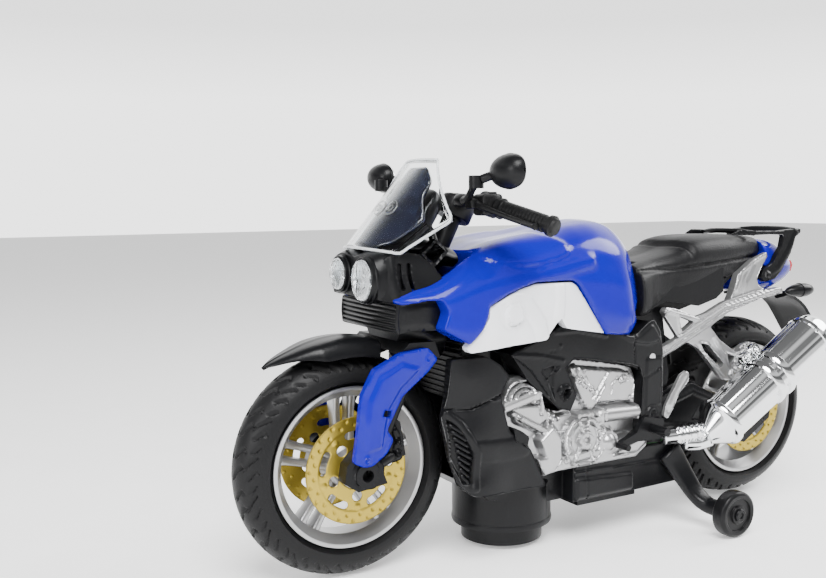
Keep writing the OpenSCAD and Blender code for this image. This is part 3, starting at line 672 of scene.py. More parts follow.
# Half sections of the whole body shell, front to rear, as (y, z) from the bottom up.
SHELL = [
    (90, [(19, 96.6), (20.4, 97.2), (20.8, 98.0), (20.2, 98.8), (19, 99.0), (10, 99), (0, 99)]),
    (84, [(20, 80), (24, 88), (25.4, 95), (25.2, 98.2), (22.4, 100.6), (18, 101.6), (0, 101.6)]),
    (76, [(24, 78), (28, 86), (28.4, 93), (27.8, 98.4), (24.6, 102), (18, 103.4), (0, 103.4)]),
    (68, [(26, 78), (29.6, 84), (29.4, 94), (28.6, 100.6), (25.2, 105.2), (18, 107), (0, 107)]),
    (60, [(26, 76), (29.6, 84), (29.4, 95), (28.8, 102.4), (25.4, 108.4), (18, 112), (0, 112.4)]),
    (50, [(26, 76), (29.2, 84), (29.5, 96), (28.8, 104.4), (25.2, 111), (17, 115.6), (0, 116)]),
    (40, [(26, 76), (29, 84), (29.3, 97), (28.4, 106), (24.6, 113), (16, 117.6), (0, 117.6)]),
    (30, [(26, 76), (28.8, 84), (29, 97), (28, 105.6), (24.4, 114), (15, 119), (0, 119)]),
    (20, [(26, 76), (28.4, 84), (28.6, 97), (27.6, 105), (24.2, 114.4), (14, 120.4), (0, 121)]),
    (10, [(25, 76), (27.8, 84), (28, 96), (27, 104), (23.8, 114.4), (13.4, 121.8), (0, 123)]),
    (0, [(24, 76), (27.2, 84), (27.2, 95), (26, 103), (22.6, 114), (12.4, 122.2), (0, 124)]),
    (-10, [(22, 76), (26, 84), (25.4, 94), (23.6, 102), (19.6, 112.6), (10.6, 120.6), (0, 122.6)]),
    (-18, [(16, 76), (20, 84), (19.4, 93), (17.6, 101), (14, 109.6), (8, 115.4), (0, 117)]),
    (-22, [(9, 78), (12, 84), (12, 92), (11, 99), (9, 105), (5, 109), (0, 110)]),
    (-24, [(3, 80), (4, 84), (4, 91), (4, 96), (3, 100), (2, 102), (0, 103)]),
]

BLUE_EDGE = [
    (92, 98.6), (88, 96.9), (80, 98.4), (75.2, 98.2), (73.2, 94), (75.4, 88.4), (73, 87), (65.2, 82.6),
    (60.4, 87.6), (57.8, 91.4), (57.4, 95.2), (50, 98.9), (44, 101), (37, 102.6), (20, 102.4),
    (17.4, 101), (3.4, 81.2), (-10, 79.6), (-15, 84.6), (-12.4, 88.6), (-26, 96), (-30, 130), (92, 130)
]
WHITE_EDGE = [
    (66.2, 81.4), (59.9, 87.2), (57.2, 91.3), (56.8, 94.8), (49.8, 98.3), (43.8, 100.4), (36.8, 102),
    (20.3, 101.8), (17.9, 100.6), (3.6, 81.6), (23.4, 85.2), (26.6, 89.4), (32.6, 81.8), (64.6, 79.4)
]


def tank_details(grid):
    """The raised oval on the tank's top and the capsule on its flank."""
    x, y, z = grid[..., 0], grid[..., 1], grid[..., 2]
    u = (x - 40) / 21
    v = (z - (114.5 + (x - 40) * 0.02)) / 6.4
    oval = ramp((1 - np.hypot(u, v)) / 0.12) * ramp((y - 8) / 8)
    a = np.clip((x - 11) / 22, 0, 1)
    capsule = ramp((3.2 - np.hypot(x - (11 + 22 * a), z - (108.6 - 3.4 * a))) / 1.6) * ramp((y - 15) / 4)
    push = 0.9 * oval + 0.9 * capsule
    grid[..., 1] = y + push * np.clip(y / 14, 0, 1) * 0.8
    grid[..., 2] = z + push * 0.6
    return grid


def build_tank():
    shell = loft("tank_cover_skin", SHELL, around=8, along=6, bend=tank_details)
    boolean(shell, prism("tool", BLUE_EDGE, -60, 60), "INTERSECT")
    boolean(shell, prism("tool", [(57.4, 60), (57.4, 130), (100, 130), (100, 60)], -18.3, 18.3), "DIFFERENCE")
    boolean(shell, prism("tool", [(-20, 70), (-16, 99), (8, 102), (36, 102), (56, 97), (64, 70)], -15.5, 15.5),
            "DIFFERENCE")
    remeshed(shell, 0.62, smooth=5)
    place(shell, "chassis", "blue_gloss", ["tank_cover"])


def build_side_panels():
    spots = [
        (66, 80, 27.6), (60, 87, 28.6), (57, 92, 28.9), (56, 96, 28.2), (50, 99, 28.2), (43, 101, 28),
        (36, 102, 27.8), (20, 102, 26.9), (17, 100, 26.6), (10, 91, 26.4), (3, 82, 26), (24, 85, 28.4),
        (27, 90, 28.8), (33, 82, 28), (48, 80.6, 28), (31, 97, 29.3), (38, 92, 28.1), (47, 92, 28.3),
        (40, 85, 29.2), (54, 86, 29.3), (25, 98, 28.6), (18, 92, 28)
    ]
    base = surface_through(spots)
    ridge = bar([(52, 98.4), (41, 95), (36, 88), (34, 82)], 3.0, 0.95)
    fold = bar([(26.6, 101.6), (27.4, 90)], 2.4, 0.8)
    boss = slab(rounded([(51.4, 92), (49.2, 96), (44.8, 96), (42.6, 92), (44.8, 88), (49.2, 88)], 3), 1.7, 0.6)
    rim = groove([(66, 81.8), (60, 87.6), (57.2, 91.3), (56.8, 94.8), (49.8, 98.3), (36.8, 102),
                  (20.3, 101.8), (17.9, 100.6), (3.6, 81.6)], 0.7, 0.25)
    flank = relief("side_panel_left", rounded(WHITE_EDGE, 1.0), base, 24.6, [ridge, fold, boss], [rim, ring(47, 92,
        5.6, 0.7, -0.3)], step=0.6)
    both_sides("side_panel_skins", flank, "white_gloss", ["side_panels"])


# Half sections of the two-step seat, as (y, z) from the seam over the base up to the middle.
SEAT = [
    (-17.2, [(22, 86), (24.4, 90), (24.4, 97), (22.6, 102), (17.4, 105.4), (9, 106.4), (0, 106.4)]),
    (-22, [(21, 86.4), (23, 90), (22.8, 97), (21.2, 102.4), (16.6, 106), (9, 107), (0, 106.8)]),
    (-30, [(17, 89), (18.6, 93), (18.6, 98), (18, 103.4), (14.6, 107), (8, 108), (0, 107.6)]),
    (-38, [(15.6, 91), (17, 95), (17.2, 99.6), (17.4, 104.4), (14.4, 108.2), (8, 109.4), (0, 109)]),
    (-44, [(15.6, 92), (17, 96), (17.4, 100.4), (17.8, 105.6), (15, 109.6), (8, 111.2), (0, 111)]),
    (-49, [(15.6, 93), (17, 97), (17.8, 101.6), (18.4, 108), (15.4, 112.4), (8, 114.4), (0, 114.6)]),
    (-56, [(15.6, 95), (17, 99), (18, 103.4), (18.4, 109.6), (15.2, 114), (8, 115.9), (0, 116)]),
    (-70, [(14.6, 98), (16, 101), (17, 105), (17.2, 110.4), (14, 114.6), (7.4, 116.2), (0, 116.2)]),
    (-82, [(13.6, 100), (14.4, 103), (15, 106.6), (15, 111), (12.4, 114.6), (7, 115.8), (0, 115.9)]),
    (-92, [(11.6, 103), (12.2, 105.6), (12.6, 108.4), (12.4, 111.4), (10.6, 114), (6.4, 115), (0, 115.2)]),
    (-98, [(8.6, 107), (9, 108.4), (9, 110), (8.4, 111.6), (7, 113), (4.4, 113.8), (0, 114)]),
]


def seat_details(grid):
    """Sewn channels: the piping under the pads and the dip between rider and passenger."""
    x, y, z = grid[..., 0], grid[..., 1], grid[..., 2]
    line = 103.4 + np.clip((-x - 40) / 50, 0, 1) * 3.0
    channel = ramp((1.1 - abs(z - line)) / 1.0)
    grid[..., 1] = y * (1 - channel * 0.1)
    cross = ramp((1.5 - abs(x + 46.5 + y * y * 0.008)) / 0.8) * ramp((z - 106) / 3)
    grid[..., 2] = z - cross * 1.5
    return grid


def build_seat():
    pad = loft("seat_pad", SEAT, around=10, along=10, bend=seat_details)
    boolean(pad, prism("tool", [(-10, 84), (-17.6, 88), (-20, 96), (-21.6, 106), (-22, 120), (-10, 120)],
                       -14, 14), "DIFFERENCE")
    remeshed(pad, 0.6, smooth=6)
    place(pad, "chassis", "seat_grey", ["seat"])


def build_tail():
    stations = [
        (-91, [(11, 91), (14.4, 94), (15.2, 99), (15.2, 105), (13.6, 110.6), (9, 113), (0, 113.6)]),
        (-98, [(10.4, 91), (14, 94), (14.8, 99), (14.6, 105), (13, 110.6), (8.6, 113.2), (0, 113.8)]),
        (-106, [(9, 92), (12.4, 94.6), (13.2, 99), (13, 104), (11.4, 109.4), (7.6, 112), (0, 112.6)]),
        (-114, [(7, 94), (9.8, 96), (10.6, 99.4), (10.4, 103), (9, 106.6), (6, 108.4), (0, 109)]),
        (-120, [(5, 96.4), (7, 97.6), (7.6, 99.6), (7.4, 102), (6.4, 104), (4.4, 105), (0, 105.4)]),
        (-123, [(4, 98), (5, 98.8), (5.4, 100), (5.2, 101.4), (4.6, 102.6), (3.4, 103), (0, 103.2)]),
    ]
    cowl = loft("tail_cowl_skin", stations, around=6, along=6)
    edge = [(-88, 94), (-91, 90.6), (-106, 91), (-126, 96), (-126, 108), (-112, 115), (-94, 115), (-96, 108),
            (-93.4, 103), (-100, 100), (-92.6, 97)]
    boolean(cowl, prism("tool", edge, -40, 40), "INTERSECT")
    boolean(cowl, prism("tool", [(-119.6, 104.6), (-128, 104.6), (-128, 97), (-118.6, 97)], -5.6, 5.6), "DIFFERENCE")
    remeshed(cowl, 0.5, smooth=4)
    place(cowl, "chassis", "blue_gloss", ["tail_cowl"])
    lamp = relief("lamp_side", rounded([(-119, 104), (-122.6, 103.4), (-124.4, 101.4), (-123.4, 98.2), (-119, 97.8)],
                                       0.6), 5.4, 0, [], [], step=0.8)
    both_sides("tail_lamp_lens", lamp, "red_lens", ["tail_lamp"])


BUILDERS = [build_tank, build_side_panels, build_seat, build_tail]

# ---------- wheels, discs, fender and fork ----------

FRONT = (101, 40.0)
REAR = (-89, 39.6)
TYRE_FOOT = 30.5
TREAD_REPEATS = 17
GROOVE_DEPTH, GROOVE_HALF, GROOVE_SLOPE = 1.1, 0.64, 0.3
LINE_DEPTH = 0.18
SPOKE_PAIRS = 5
FENDER_FROM, FENDER_TO = 52, 105


def tyre_skin(name, centre, r, w, bead):
    """A tyre with lightning-shaped grooves and shoulder dashes cut into its crown."""
    around = 560
    crown = np.radians(np.linspace(0, 180, 61))
    radius = TYRE_FOOT + (r - TYRE_FOOT) * np.sin(crown)
    width = -w / 2 * np.cos(crown)
    arc = np.concatenate([[0], np.cumsum(np.hypot(np.diff(radius), np.diff(width)))])
    arc -= arc[-1] / 2
    edge = abs(arc[0])
    theta = np.linspace(0, 2 * math.pi, around, endpoint=False)
    pitch = 2 * math.pi * r / TREAD_REPEATS
    u = (theta * r)[:, None] % pitch
    v = arc[None, :]
    k = edge / 15
    lines = [
        [(0.6, 0.8 * k), (5.4, 4.2 * k), (4.2, 5.4 * k), (9.6, 9.6 * k)],
        [(8.2, 1.6 * k), (11.6, 4.4 * k), (10.8, 5.4 * k)],
        [(1.0, 7.4 * k), (4.4, 9.8 * k), (3.6, 10.6 * k)],
        [(10.8, 8.0 * k), (13.4, 10.0 * k)],
    ]
    depth = np.zeros((around, len(arc)))
    for side_sign, lead in ((1, 0), (-1, pitch / 2)):
        for line in lines:
            for wrap in (-pitch, 0, pitch):
                shifted = [(a + wrap, b) for a, b in line]
                d = edge_distance(shifted, (u + lead) % pitch + 0 * v, side_sign * v + 0 * u, closed=False)
                depth = np.maximum(depth, GROOVE_DEPTH * ramp((GROOVE_HALF - d) / GROOVE_SLOPE))
    rings = abs(abs(v) - edge * 0.86) < 0.3
    depth = np.maximum(depth, LINE_DEPTH * rings)
    points = []
    cx, cz = centre
    for i in range(around):
        c, s = math.cos(theta[i]), math.sin(theta[i])
        row = [(27.1, -bead), (29.1, -bead - 0.2)]
        row += list(zip(radius - depth[i], width))
        row += [(29.1, bead + 0.2), (27.1, bead)]
        points += [(cx + q * c, y, cz + q * s) for q, y in row]
    tyre = mesh_from(name, points, grid_faces(around, len(arc) + 4, wrap_rows=True))
    return paint(split_sharp(tyre, 55), "tyre_rubber")


def circle(cx, cz, r, n):
    """The points of a circle in side view."""
    return [(cx + r * math.cos(2 * math.pi * k / n), cz + r * math.sin(2 * math.pi * k / n)) for k in range(n)]


def kidney(cx, cz, r, width, middle, sweep):
    """A slot along an arc with rounded ends; angles in degrees."""
    n = 10
    a0, a1 = math.radians(middle - sweep / 2), math.radians(middle + sweep / 2)
    out = []
    for k in range(n + 1):
        a = a0 + (a1 - a0) * k / n
        out.append((cx + (r + width / 2) * math.cos(a), cz + (r + width / 2) * math.sin(a)))
    for k in range(1, 5):
        b = a1 + math.pi * k / 5
        out.append((cx + r * math.cos(a1) + width / 2 * math.cos(b), cz + r * math.sin(a1) + width / 2 * math.sin(b)))
    for k in range(n, -1, -1):
        a = a0 + (a1 - a0) * k / n
        out.append((cx + (r - width / 2) * math.cos(a), cz + (r - width / 2) * math.sin(a)))
    for k in range(1, 5):
        b = a0 + math.pi + math.pi * k / 5
        out.append((cx + r * math.cos(a0) + width / 2 * math.cos(b), cz + r * math.sin(a0) + width / 2 * math.sin(b)))
    return out


def disc_skin(name, centre, y):
    """A drilled disc with five slots, five windows in its carrier and five rivets; outer face at y."""
    cx, cz = centre
    holes = [circle(cx, cz, 6.6, 28)]
    dimples = []
    rivets = []
    for i in range(5):
        a = 90 + 72 * i
        holes.append(kidney(cx, cz, 12.7, 2.6, a, 27))
        holes.append(circle(cx + 9.1 * math.cos(math.radians(a + 36)), cz + 9.1 * math.sin(math.radians(a + 36)),
            1.9, 18))
        b = math.radians(a + 36)
        rivets.append((cx + 12.9 * math.cos(b), cz + 12.9 * math.sin(b)))
        for turn, r in ((-30, 17.7), (-21, 16.0), (-12, 17.7), (-3, 16.0), (6, 17.7), (15, 16.0), (24, 17.7), (33,
            15.6)):
            b = math.radians(a + turn)
            dimples.append((cx + r * math.cos(b), cz + r * math.sin(b)))
    spots_x = np.array([p[0] for p in dimples])
    spots_z = np.array([p[1] for p in dimples])

    def drilled(x, z):
        d = np.min(np.hypot(x[:, None] - spots_x, z[:, None] - spots_z), axis=1)
        return -0.6 * ramp((0.62 - d) / 0.3)

    raised = [dome(px, pz, 1.05, 0.5) for px, pz in rivets] + [disc(px, pz, 1.3, 0.12, 0.2) for px, pz in rivets]
    step = lambda x, z: -0.22 * ramp((14.6 - np.hypot(x - cx, z - cz)) / 0.4)
    plate = relief(name, circle(cx, cz, 18.9, 120), y - 0.5, y - 1.0, raised, [drilled, step], step=0.42, holes=holes)
    return paint(plate, "gold_disc")


def rim_skin(name, centre, bead, hub):
    """A dished rim with a rolled lip and five pairs of tapering spokes."""
    cx, cz = centre
    lip = bead + 1.8
    profile = [
        (-lip + 0.2, 27.3), (-lip, 28.0), (-lip + 0.15, 28.7), (-lip + 0.9, 28.75), (-bead, 27.0), (bead, 27.0),
        (lip - 0.9, 28.75), (lip - 0.15, 28.7), (lip, 28.0), (lip - 0.2, 27.3), (bead + 0.2, 26.4),
        (bead - 1.6, 25.2), (bead - 2.4, 24.6), (-bead + 2.4, 24.6), (-bead + 1.6, 25.2), (-bead - 0.2, 26.4)
    ]
    n = 112
    points = []
    for i in range(n):
        a = 2 * math.pi * i / n
        points += [(cx + r * math.cos(a), y, cz + r * math.sin(a)) for y, r in profile]
    barrel = split_sharp(mesh_from("barrel", points, grid_faces(n, len(profile), wrap_rows=True)), 32)
    parts = [barrel]
    hub_in = 2.1 if hub < 14 else 2.6
    parts.append(turned("hub", [
        (-hub, hub_in), (-hub, 5.6), (-hub + 0.7, 6.4), (-bead + 1, 6.5), (-bead + 2, 7.6), (bead - 2, 7.6),
        (bead - 1, 6.5), (hub - 0.7, 6.4), (hub, 5.6), (hub, hub_in)
    ], (cx, 0, cz), (0, 1, 0), 40))
    deep = bead - 2.7
    for i in range(SPOKE_PAIRS):
        middle = math.radians(90 + 72 * i)
        for s in (-1, 1):
            sections = []
            for t, half, offset, depth in ((6.6, 1.35, 2.0, deep), (12, 1.25, 2.45, deep * 0.82), (19, 1.25, 2.75,
                deep * 0.8),
                                           (25.2, 1.6, 3.0, deep)):
                ring_points = []
                for k in range(16):
                    a = 2 * math.pi * k / 16
                    c, w = math.cos(a), math.sin(a)
                    p = half * math.copysign(abs(c) ** 0.55, c)
                    q = depth * math.copysign(abs(w) ** 0.4, w)
                    ring_points.append((t, s * offset + p, q))
                sections.append(ring_points)
            grid = np.array([spline([sec[k] for sec in sections], 5) for k in range(16)]).transpose(1, 0, 2)
            verts = []
            for row in grid:
                for t, across, y in row:
                    verts.append((cx + t * math.cos(middle) - across * math.sin(middle), y,
                                  cz + t * math.sin(middle) + across * math.cos(middle)))
            parts.append(mesh_from("spoke", verts, grid_faces(len(grid), 16, ends=(1, 1))))
        web = [(cx + t * math.cos(middle) - s * math.sin(middle), cz + t * math.sin(middle) + s * math.cos(middle))
               for t, s in ((6, -2.2), (14, -2.4), (14, 2.4), (6, 2.2))]
        parts.append(prism("web", web, -deep * 0.35, deep * 0.35))
    return paint(join(name, parts), "silver_paint")


def build_wheels():
    place(tyre_skin("front_tyre_tread", FRONT, 40, 19, 6.4), "front_wheel", "tyre_rubber", ["front_tyre"])
    place(tyre_skin("rear_tyre_tread", REAR, 39.6, 27, 10.4), "rear_wheel", "tyre_rubber", ["rear_tyre"])
    place(rim_skin("front_rim_skin", FRONT, 6.4, 13), "front_wheel", "silver_paint", ["front_rim"])
    place(rim_skin("rear_rim_skin", REAR, 10.4, 15), "rear_wheel", "silver_paint", ["rear_rim"])
    both_sides("front_disc_plates", disc_skin("disc_left", FRONT, 12.5), "gold_disc", ["front_discs"], "front_wheel")
    rear = disc_skin("disc_rear", REAR, 14.6)
    place(join("rear_disc_plate", [rear]), "rear_wheel", "gold_disc", ["rear_disc"])


def build_fender():
    """Glossy black fender: a pointed tip in front, skirts beside the tyre and a fine centre ridge."""
    rows = []
    angles = np.linspace(FENDER_FROM, FENDER_TO, 54)
    for deg in angles:
        t = (deg - FENDER_FROM) / (FENDER_TO - FENDER_FROM)
        wide = min(1.0, 0.03 + 1.75 * t ** 0.72)
        skirt = ramp((t - 0.12) / 0.45)
        lift = 0.8 * (1 - ramp(t / 0.3))
        row = []
        for k in range(-14, 15):
            q = k / 14
            y = 11.4 * wide * math.copysign(abs(q) ** 0.9, q)
            drop = (0.9 * abs(q) ** 2 + 2.3 * abs(q) ** 5 + 3.2 * abs(q) ** 12 * skirt) * wide
            r = 45.7 + lift - drop + 0.25 * math.exp(-(k / 1.2) ** 2)
            row.append((y, r))
        rows.append((math.radians(deg), row))
    cx, cz = FRONT
    points = [(cx + r * math.cos(a), y, cz + r * math.sin(a)) for a, row in rows for y, r in row]
    fender = mesh_from("front_fender_skin", points, grid_faces(len(rows), 29, wrap_columns=False))
    thicken(fender, 1.1)
    add_bevel(fender, 0.3, 50)
    dress(baked(fender), "fairing_black", ["front_fender"], "steering")


FORK_EDGE = [
    (73.2, 77.4), (77.6, 81.8), (88.4, 80.8), (98.6, 76.2), (103.4, 67.6), (105.2, 53.6), (106.6, 45.4), (103, 43.4),
    (99.6, 43.4), (94, 47.2), (91.6, 51.6), (94.4, 55.2), (91.2, 60.4), (88, 66), (77.4, 73.2)
]


def build_fork_covers():
    window = rounded([(93, 59.4), (96.4, 60.4), (95.6, 62.6), (92.6, 61.6)], 0.3)
    spots = [(75, 78, 20.6), (88, 80, 22.2), (98, 75, 22.4), (103, 67, 21.8), (104.6, 54, 21.6), (105, 46, 21.4),
             (94, 48, 21.6), (93, 58, 22), (88, 66, 21.6), (78, 73, 20.6), (96, 66, 22.8), (99, 56, 23)]
    base = surface_through(spots)
    crease = slab([(88, 77.6), (97, 73.6), (101, 66), (102.6, 56), (102.4, 48), (96, 49), (95, 56), (93.6, 62),
        (88.6, 68.6),
                   (80, 75)], 0.7, 1.0)
    bosses = [disc(101.6, 45.8, 1.6, 0.5, 0.4), disc(77.2, 77.6, 1.2, 0.4, 0.3)]
    dents = [disc(101.6, 45.8, 0.8, -0.7, 0.2), disc(77.2, 77.6, 0.55, -0.5, 0.2)]
    cover = relief("fork_cover_skin_left", rounded(FORK_EDGE, 1.2), base, 19.8, [crease, *bosses], dents, step=0.7,
                   holes=[window])
    left_and_right(cover, "blue_gloss", "fork_cover_skin", "fork_cover", "steering")


def build_calipers():
    """Brake calipers, their brackets and the bolts on the fork feet."""
    shape = rounded([(85.4, 42.4), (84.4, 47), (85, 52), (87.4, 56.8), (90.4, 57.4), (92, 54), (90.6, 50.6), (91.6,
        46), (90, 41.6)], 1.2)
    raised = [
        slab(rounded([(86, 43), (85.4, 47), (86, 51.6), (88, 55.6), (90, 54), (88.8, 50), (89.4, 46), (89, 42.6)],
            0.8), 1.1, 0.5),
        disc(87.6, 45.4, 1.3, 1.9, 0.3), disc(87.4, 49.6, 1.3, 1.9, 0.3), disc(89, 54, 1.1, 1.7, 0.3)
    ]
    dents = [disc(87.6, 45.4, 0.6, -0.8, 0.2), disc(87.4, 49.6, 0.6, -0.8, 0.2), disc(89, 54, 0.5, -0.8, 0.2)]
    left = relief("caliper", shape, 15.8, 13.2, raised, dents, step=0.45)
    arm = relief("arm", rounded([(89, 43.4), (98, 39.4), (100, 41), (98.6, 43.4), (90, 46.4)], 0.8), 18.2, 15,
                 [bar([(90, 45), (98, 41.4)], 1.0, 0.6)], [], step=0.5)
    foot = relief("foot", rounded([(94.6, 37.6), (94, 42), (97.4, 46.8), (101, 49), (105.6, 46.4), (107.6, 43.2),
        (107.8, 38.4),
                                   (104.4, 35), (98, 34.8)], 0.9), 19.3, 14,
                  [slab(rounded([(96, 38.4), (95.6, 41.6), (98.4, 45.6), (101, 47.4), (104.6, 45.2), (106.2, 42.6),
                      (106.4, 39),
                                 (103.8, 36.4), (98.8, 36.2)], 0.6), 0.6, 0.6)], [], step=0.6,
                  holes=[circle(101, 40, 4.3, 28)])
    both_sides("fork_foot_details", join("one", [left, arm, foot]), "black_plastic", body="steering")


BUILDERS += [build_wheels, build_fender, build_fork_covers, build_calipers]

# ---------- engine, fairings, frame spar and belly ----------

ENGINE_EDGE = [
    (48.4, 60.4), (47.6, 55), (45, 50.4), (40, 47.2), (36, 44.4), (30, 29.4), (27, 28.4), (24, 29.8), (-15, 30),
    (-21, 34), (-23, 37.6), (-21, 41.2), (-16.4, 42), (-16.6, 49), (-16.4, 62), (-14.6, 66), (-9.6, 67.6),
    (16.4, 72.4), (20, 69.4), (19.6, 66.6), (15, 56.6), (16, 53.6), (22, 53), (29, 55.4), (31, 60), (34, 65.6),
    (38, 68.2), (43, 67.4), (46.4, 64)
]


def build_engine():
    hub = (11, 41.2)
    cover = rounded([(18.8, 70.2), (-9.2, 66), (-12.8, 64), (-14.2, 60), (-13.6, 53), (4.2, 54.2), (6.4, 51.6),
        (9.6, 52.4), (13.4, 57.4)], 1.6)
    raised = [
        # cylinder block, crankcase and lower covers
        slab([(35, 37.4), (30.4, 29.0), (24, 29.8), (-15, 30.0), (-21, 34.0), (-21.6, 37.4)], 3.9, 1.2),
        slab(rounded([(45, 58), (42.6, 51), (34, 46.4), (24, 51.4), (29, 57)], 1.4), 1.6, 1.2),
        slab(rounded([(33.6, 44), (27.6, 30.6), (20, 31.4), (21, 44), (26, 50)], 1.6), 4.4, 2.0),
        slab(rounded([(28, 52), (22, 44), (2, 42), (2, 52), (14, 52.4)], 1.6), 1.6, 1.2),
        slab(rounded([(2.6, 33), (-15, 31.6), (-20.4, 35), (-21.4, 37.8), (-16, 39.4), (-8, 37)], 1.6), 4.6, 1.6),
        # hose arches over the silver cylinder
        *[bar([(38.4 + r * math.cos(math.radians(a)),
            59 + r * 0.92 * math.sin(math.radians(a))) for a in range(-18, 205, 14)],
              0.85, h) for r, h in ((8.4, 2.4), (6.3, 3.2), (4.3, 3.8))],
        bar([(47.6, 57.6), (33.6, 60.8)], 2.3, 4.2, 0.4), disc(33.2, 60.8, 2.3, 4.4, 0.8),
        bar([(31, 60), (30, 56), (29.8, 53.4)], 1.0, 3.2),
        # lifting bar and its slot
        bar([(43.2, 54.6), (17.6, 40.4)], 0.95, 3.2, 0.2), bar([(41.6, 52), (19, 39.6)], 0.5, 2.6),
        bar([(26.6, 53.4), (27.8, 45.6)], 0.6, 2.5), bar([(24.4, 52.6), (25.6, 46)], 0.6, 2.5),
        bar([(22.8, 44.4), (17.4, 43)], 0.6, 2.7), bar([(22.4, 42.6), (17.2, 41.4)], 0.6, 2.7),
        # clutch: arcs, struts and the hub
        disc(*hub, 10.6, 3.4, 0.8),
        *[ring(*hub, r, 0.9, h) for r, h in ((10.2, 4.5), (8.4, 4.0), (6.7, 4.5))],
        bar([hub, (14.6, 51)], 0.75, 4.8), bar([hub, (8.8, 51.2)], 0.75, 4.8), bar([(14.8, 50.6), (8.6, 50.8)],
            0.9, 4.6),
        bar([hub, (16.6, 33)], 0.75, 5.0), bar([hub, (7.4, 33.4)], 0.75, 5.0), bar([(17, 32.6), (7, 33)], 0.8, 4.9),
        slab(rounded([(14.4, 37), (8.4, 37.2), (8, 33.6), (15.6, 33.4)], 0.6), 4.5, 0.6),
        disc(*hub, 4.1, 5.4, 0.8), ring(*hub, 2.2, 0.7, 6.0), disc(14.8, 50.8, 1.3, 5.2, 0.4), disc(8.7, 51, 1.3,
            5.2, 0.4),
        disc(17, 32.8, 1.1, 5.2, 0.4), disc(6.8, 33.2, 1.1, 5.2, 0.4),
        # side cover with its curved ribs
        slab(cover, 2.8, 0.9),
        *[bar([(16.6 - i * 2.1, 66.4 - i * 0.5), (12.4 - i * 1.5, 62.6 - i * 0.8), (6.8 - i * 0.6,
            60.8 - i * 1.1)], 0.5, 3.7)
          for i in range(4)],
        bar([(6.4, 56), (2.6, 61.4), (-0.6, 65.4)], 0.9, 3.8), bar([(4.6, 55.2), (0.8, 60.8)], 0.5, 3.5),
        bar([(-2.4, 57.2), (-2.6, 61), (-5.4, 63.2), (-7.4, 62)], 0.5, 3.6),
        disc(-8.4, 62.8, 1.8, 3.6, 0.5), ring(-8.4, 62.8, 2.6, 0.6, 3.5), disc(14.4, 68.6, 1.5, 3.7, 0.5), disc(11,
            67.8, 1.1, 3.6, 0.4),
        bar([(-13, 53), (-13.4, 60), (-12, 64)], 0.6, 3.6), disc(-12.2, 55.2, 0.9, 3.8, 0.3),
        # starter cylinder with collars
        bar([(2.6, 49.4), (-14.6, 48.9)], 3.1, 5.0, 0.3), bar([(3.0, 46.6), (3.0, 52.2)], 0.9, 5.3), bar([(1.2,
            47), (1.2, 51.8)], 0.5, 5.2),
        bar([(-15.2, 46.4), (-15.2, 51.4)], 0.7, 4.6),
        # dome and rear cover
        disc(-0.6, 38.6, 5.0, 4.2, 0.5), dome(-0.6, 38.6, 4.5, 6.1),
        bar([(-3, 33.4), (-9, 33), (-15, 33.4), (-19.4, 36.4)], 0.6, 5.0), bar([(-8.2, 36.6), (-13, 37.8), (-17,
            37.6)], 0.5, 4.8),
        disc(19.6, 34.4, 1.5, 5.0, 0.5), disc(20.4, 37.4, 0.9, 4.8, 0.3), disc(31.6, 48.4, 1.0, 3.0,
            0.3), disc(22.6, 50.6, 0.9, 3.0, 0.3),
    ]
    dents = [
        disc(*hub, 1.3, -0.9, 0.3), groove([(41.8, 53.8), (39.8, 52.7)], 0.5, 0.8),
        groove([(2.4, 52.9), (-13.2, 52.4)], 0.35, 0.7), groove([(5, 42.8), (1.8, 45.6), (2, 52.6)], 0.35, 0.6),
        groove([(24.6, 31), (22.2, 36), (22.4, 43)], 0.3, 0.5), disc(14.4, 68.6, 0.6, -0.5, 0.2), disc(-8.4, 62.8,
            0.7, -0.6, 0.2),
        groove([(-14, 40.4), (-6, 41), (-4.4, 43.6)], 0.35, 0.5),
    ]
    left = relief("engine_skin_left", rounded(ENGINE_EDGE, 1.0), 20.4, 15.4, raised, dents, step=0.42)
    left_and_right(left, "silver_paint", "engine_skin", "engine")
    lug = relief("lug", rounded([(44.6, 50.4), (43.6, 45), (38.4, 42.6), (37.6, 46), (41, 48.6)], 0.8), 25.2, 20,
        [], [], step=0.8)
    both_sides("engine_lugs", lug, "black_plastic")


FAIRING_EDGE = [
    (69.4, 77), (55, 77), (50, 73.8), (45.8, 69.2), (49.9, 62.8), (48.6, 58.4), (46.2, 49.4), (39.4, 43), (36.4, 41),
    (29.4, 26), (62, 27.4), (65.6, 31), (69.6, 42), (72.4, 56.4), (70.6, 64)
]


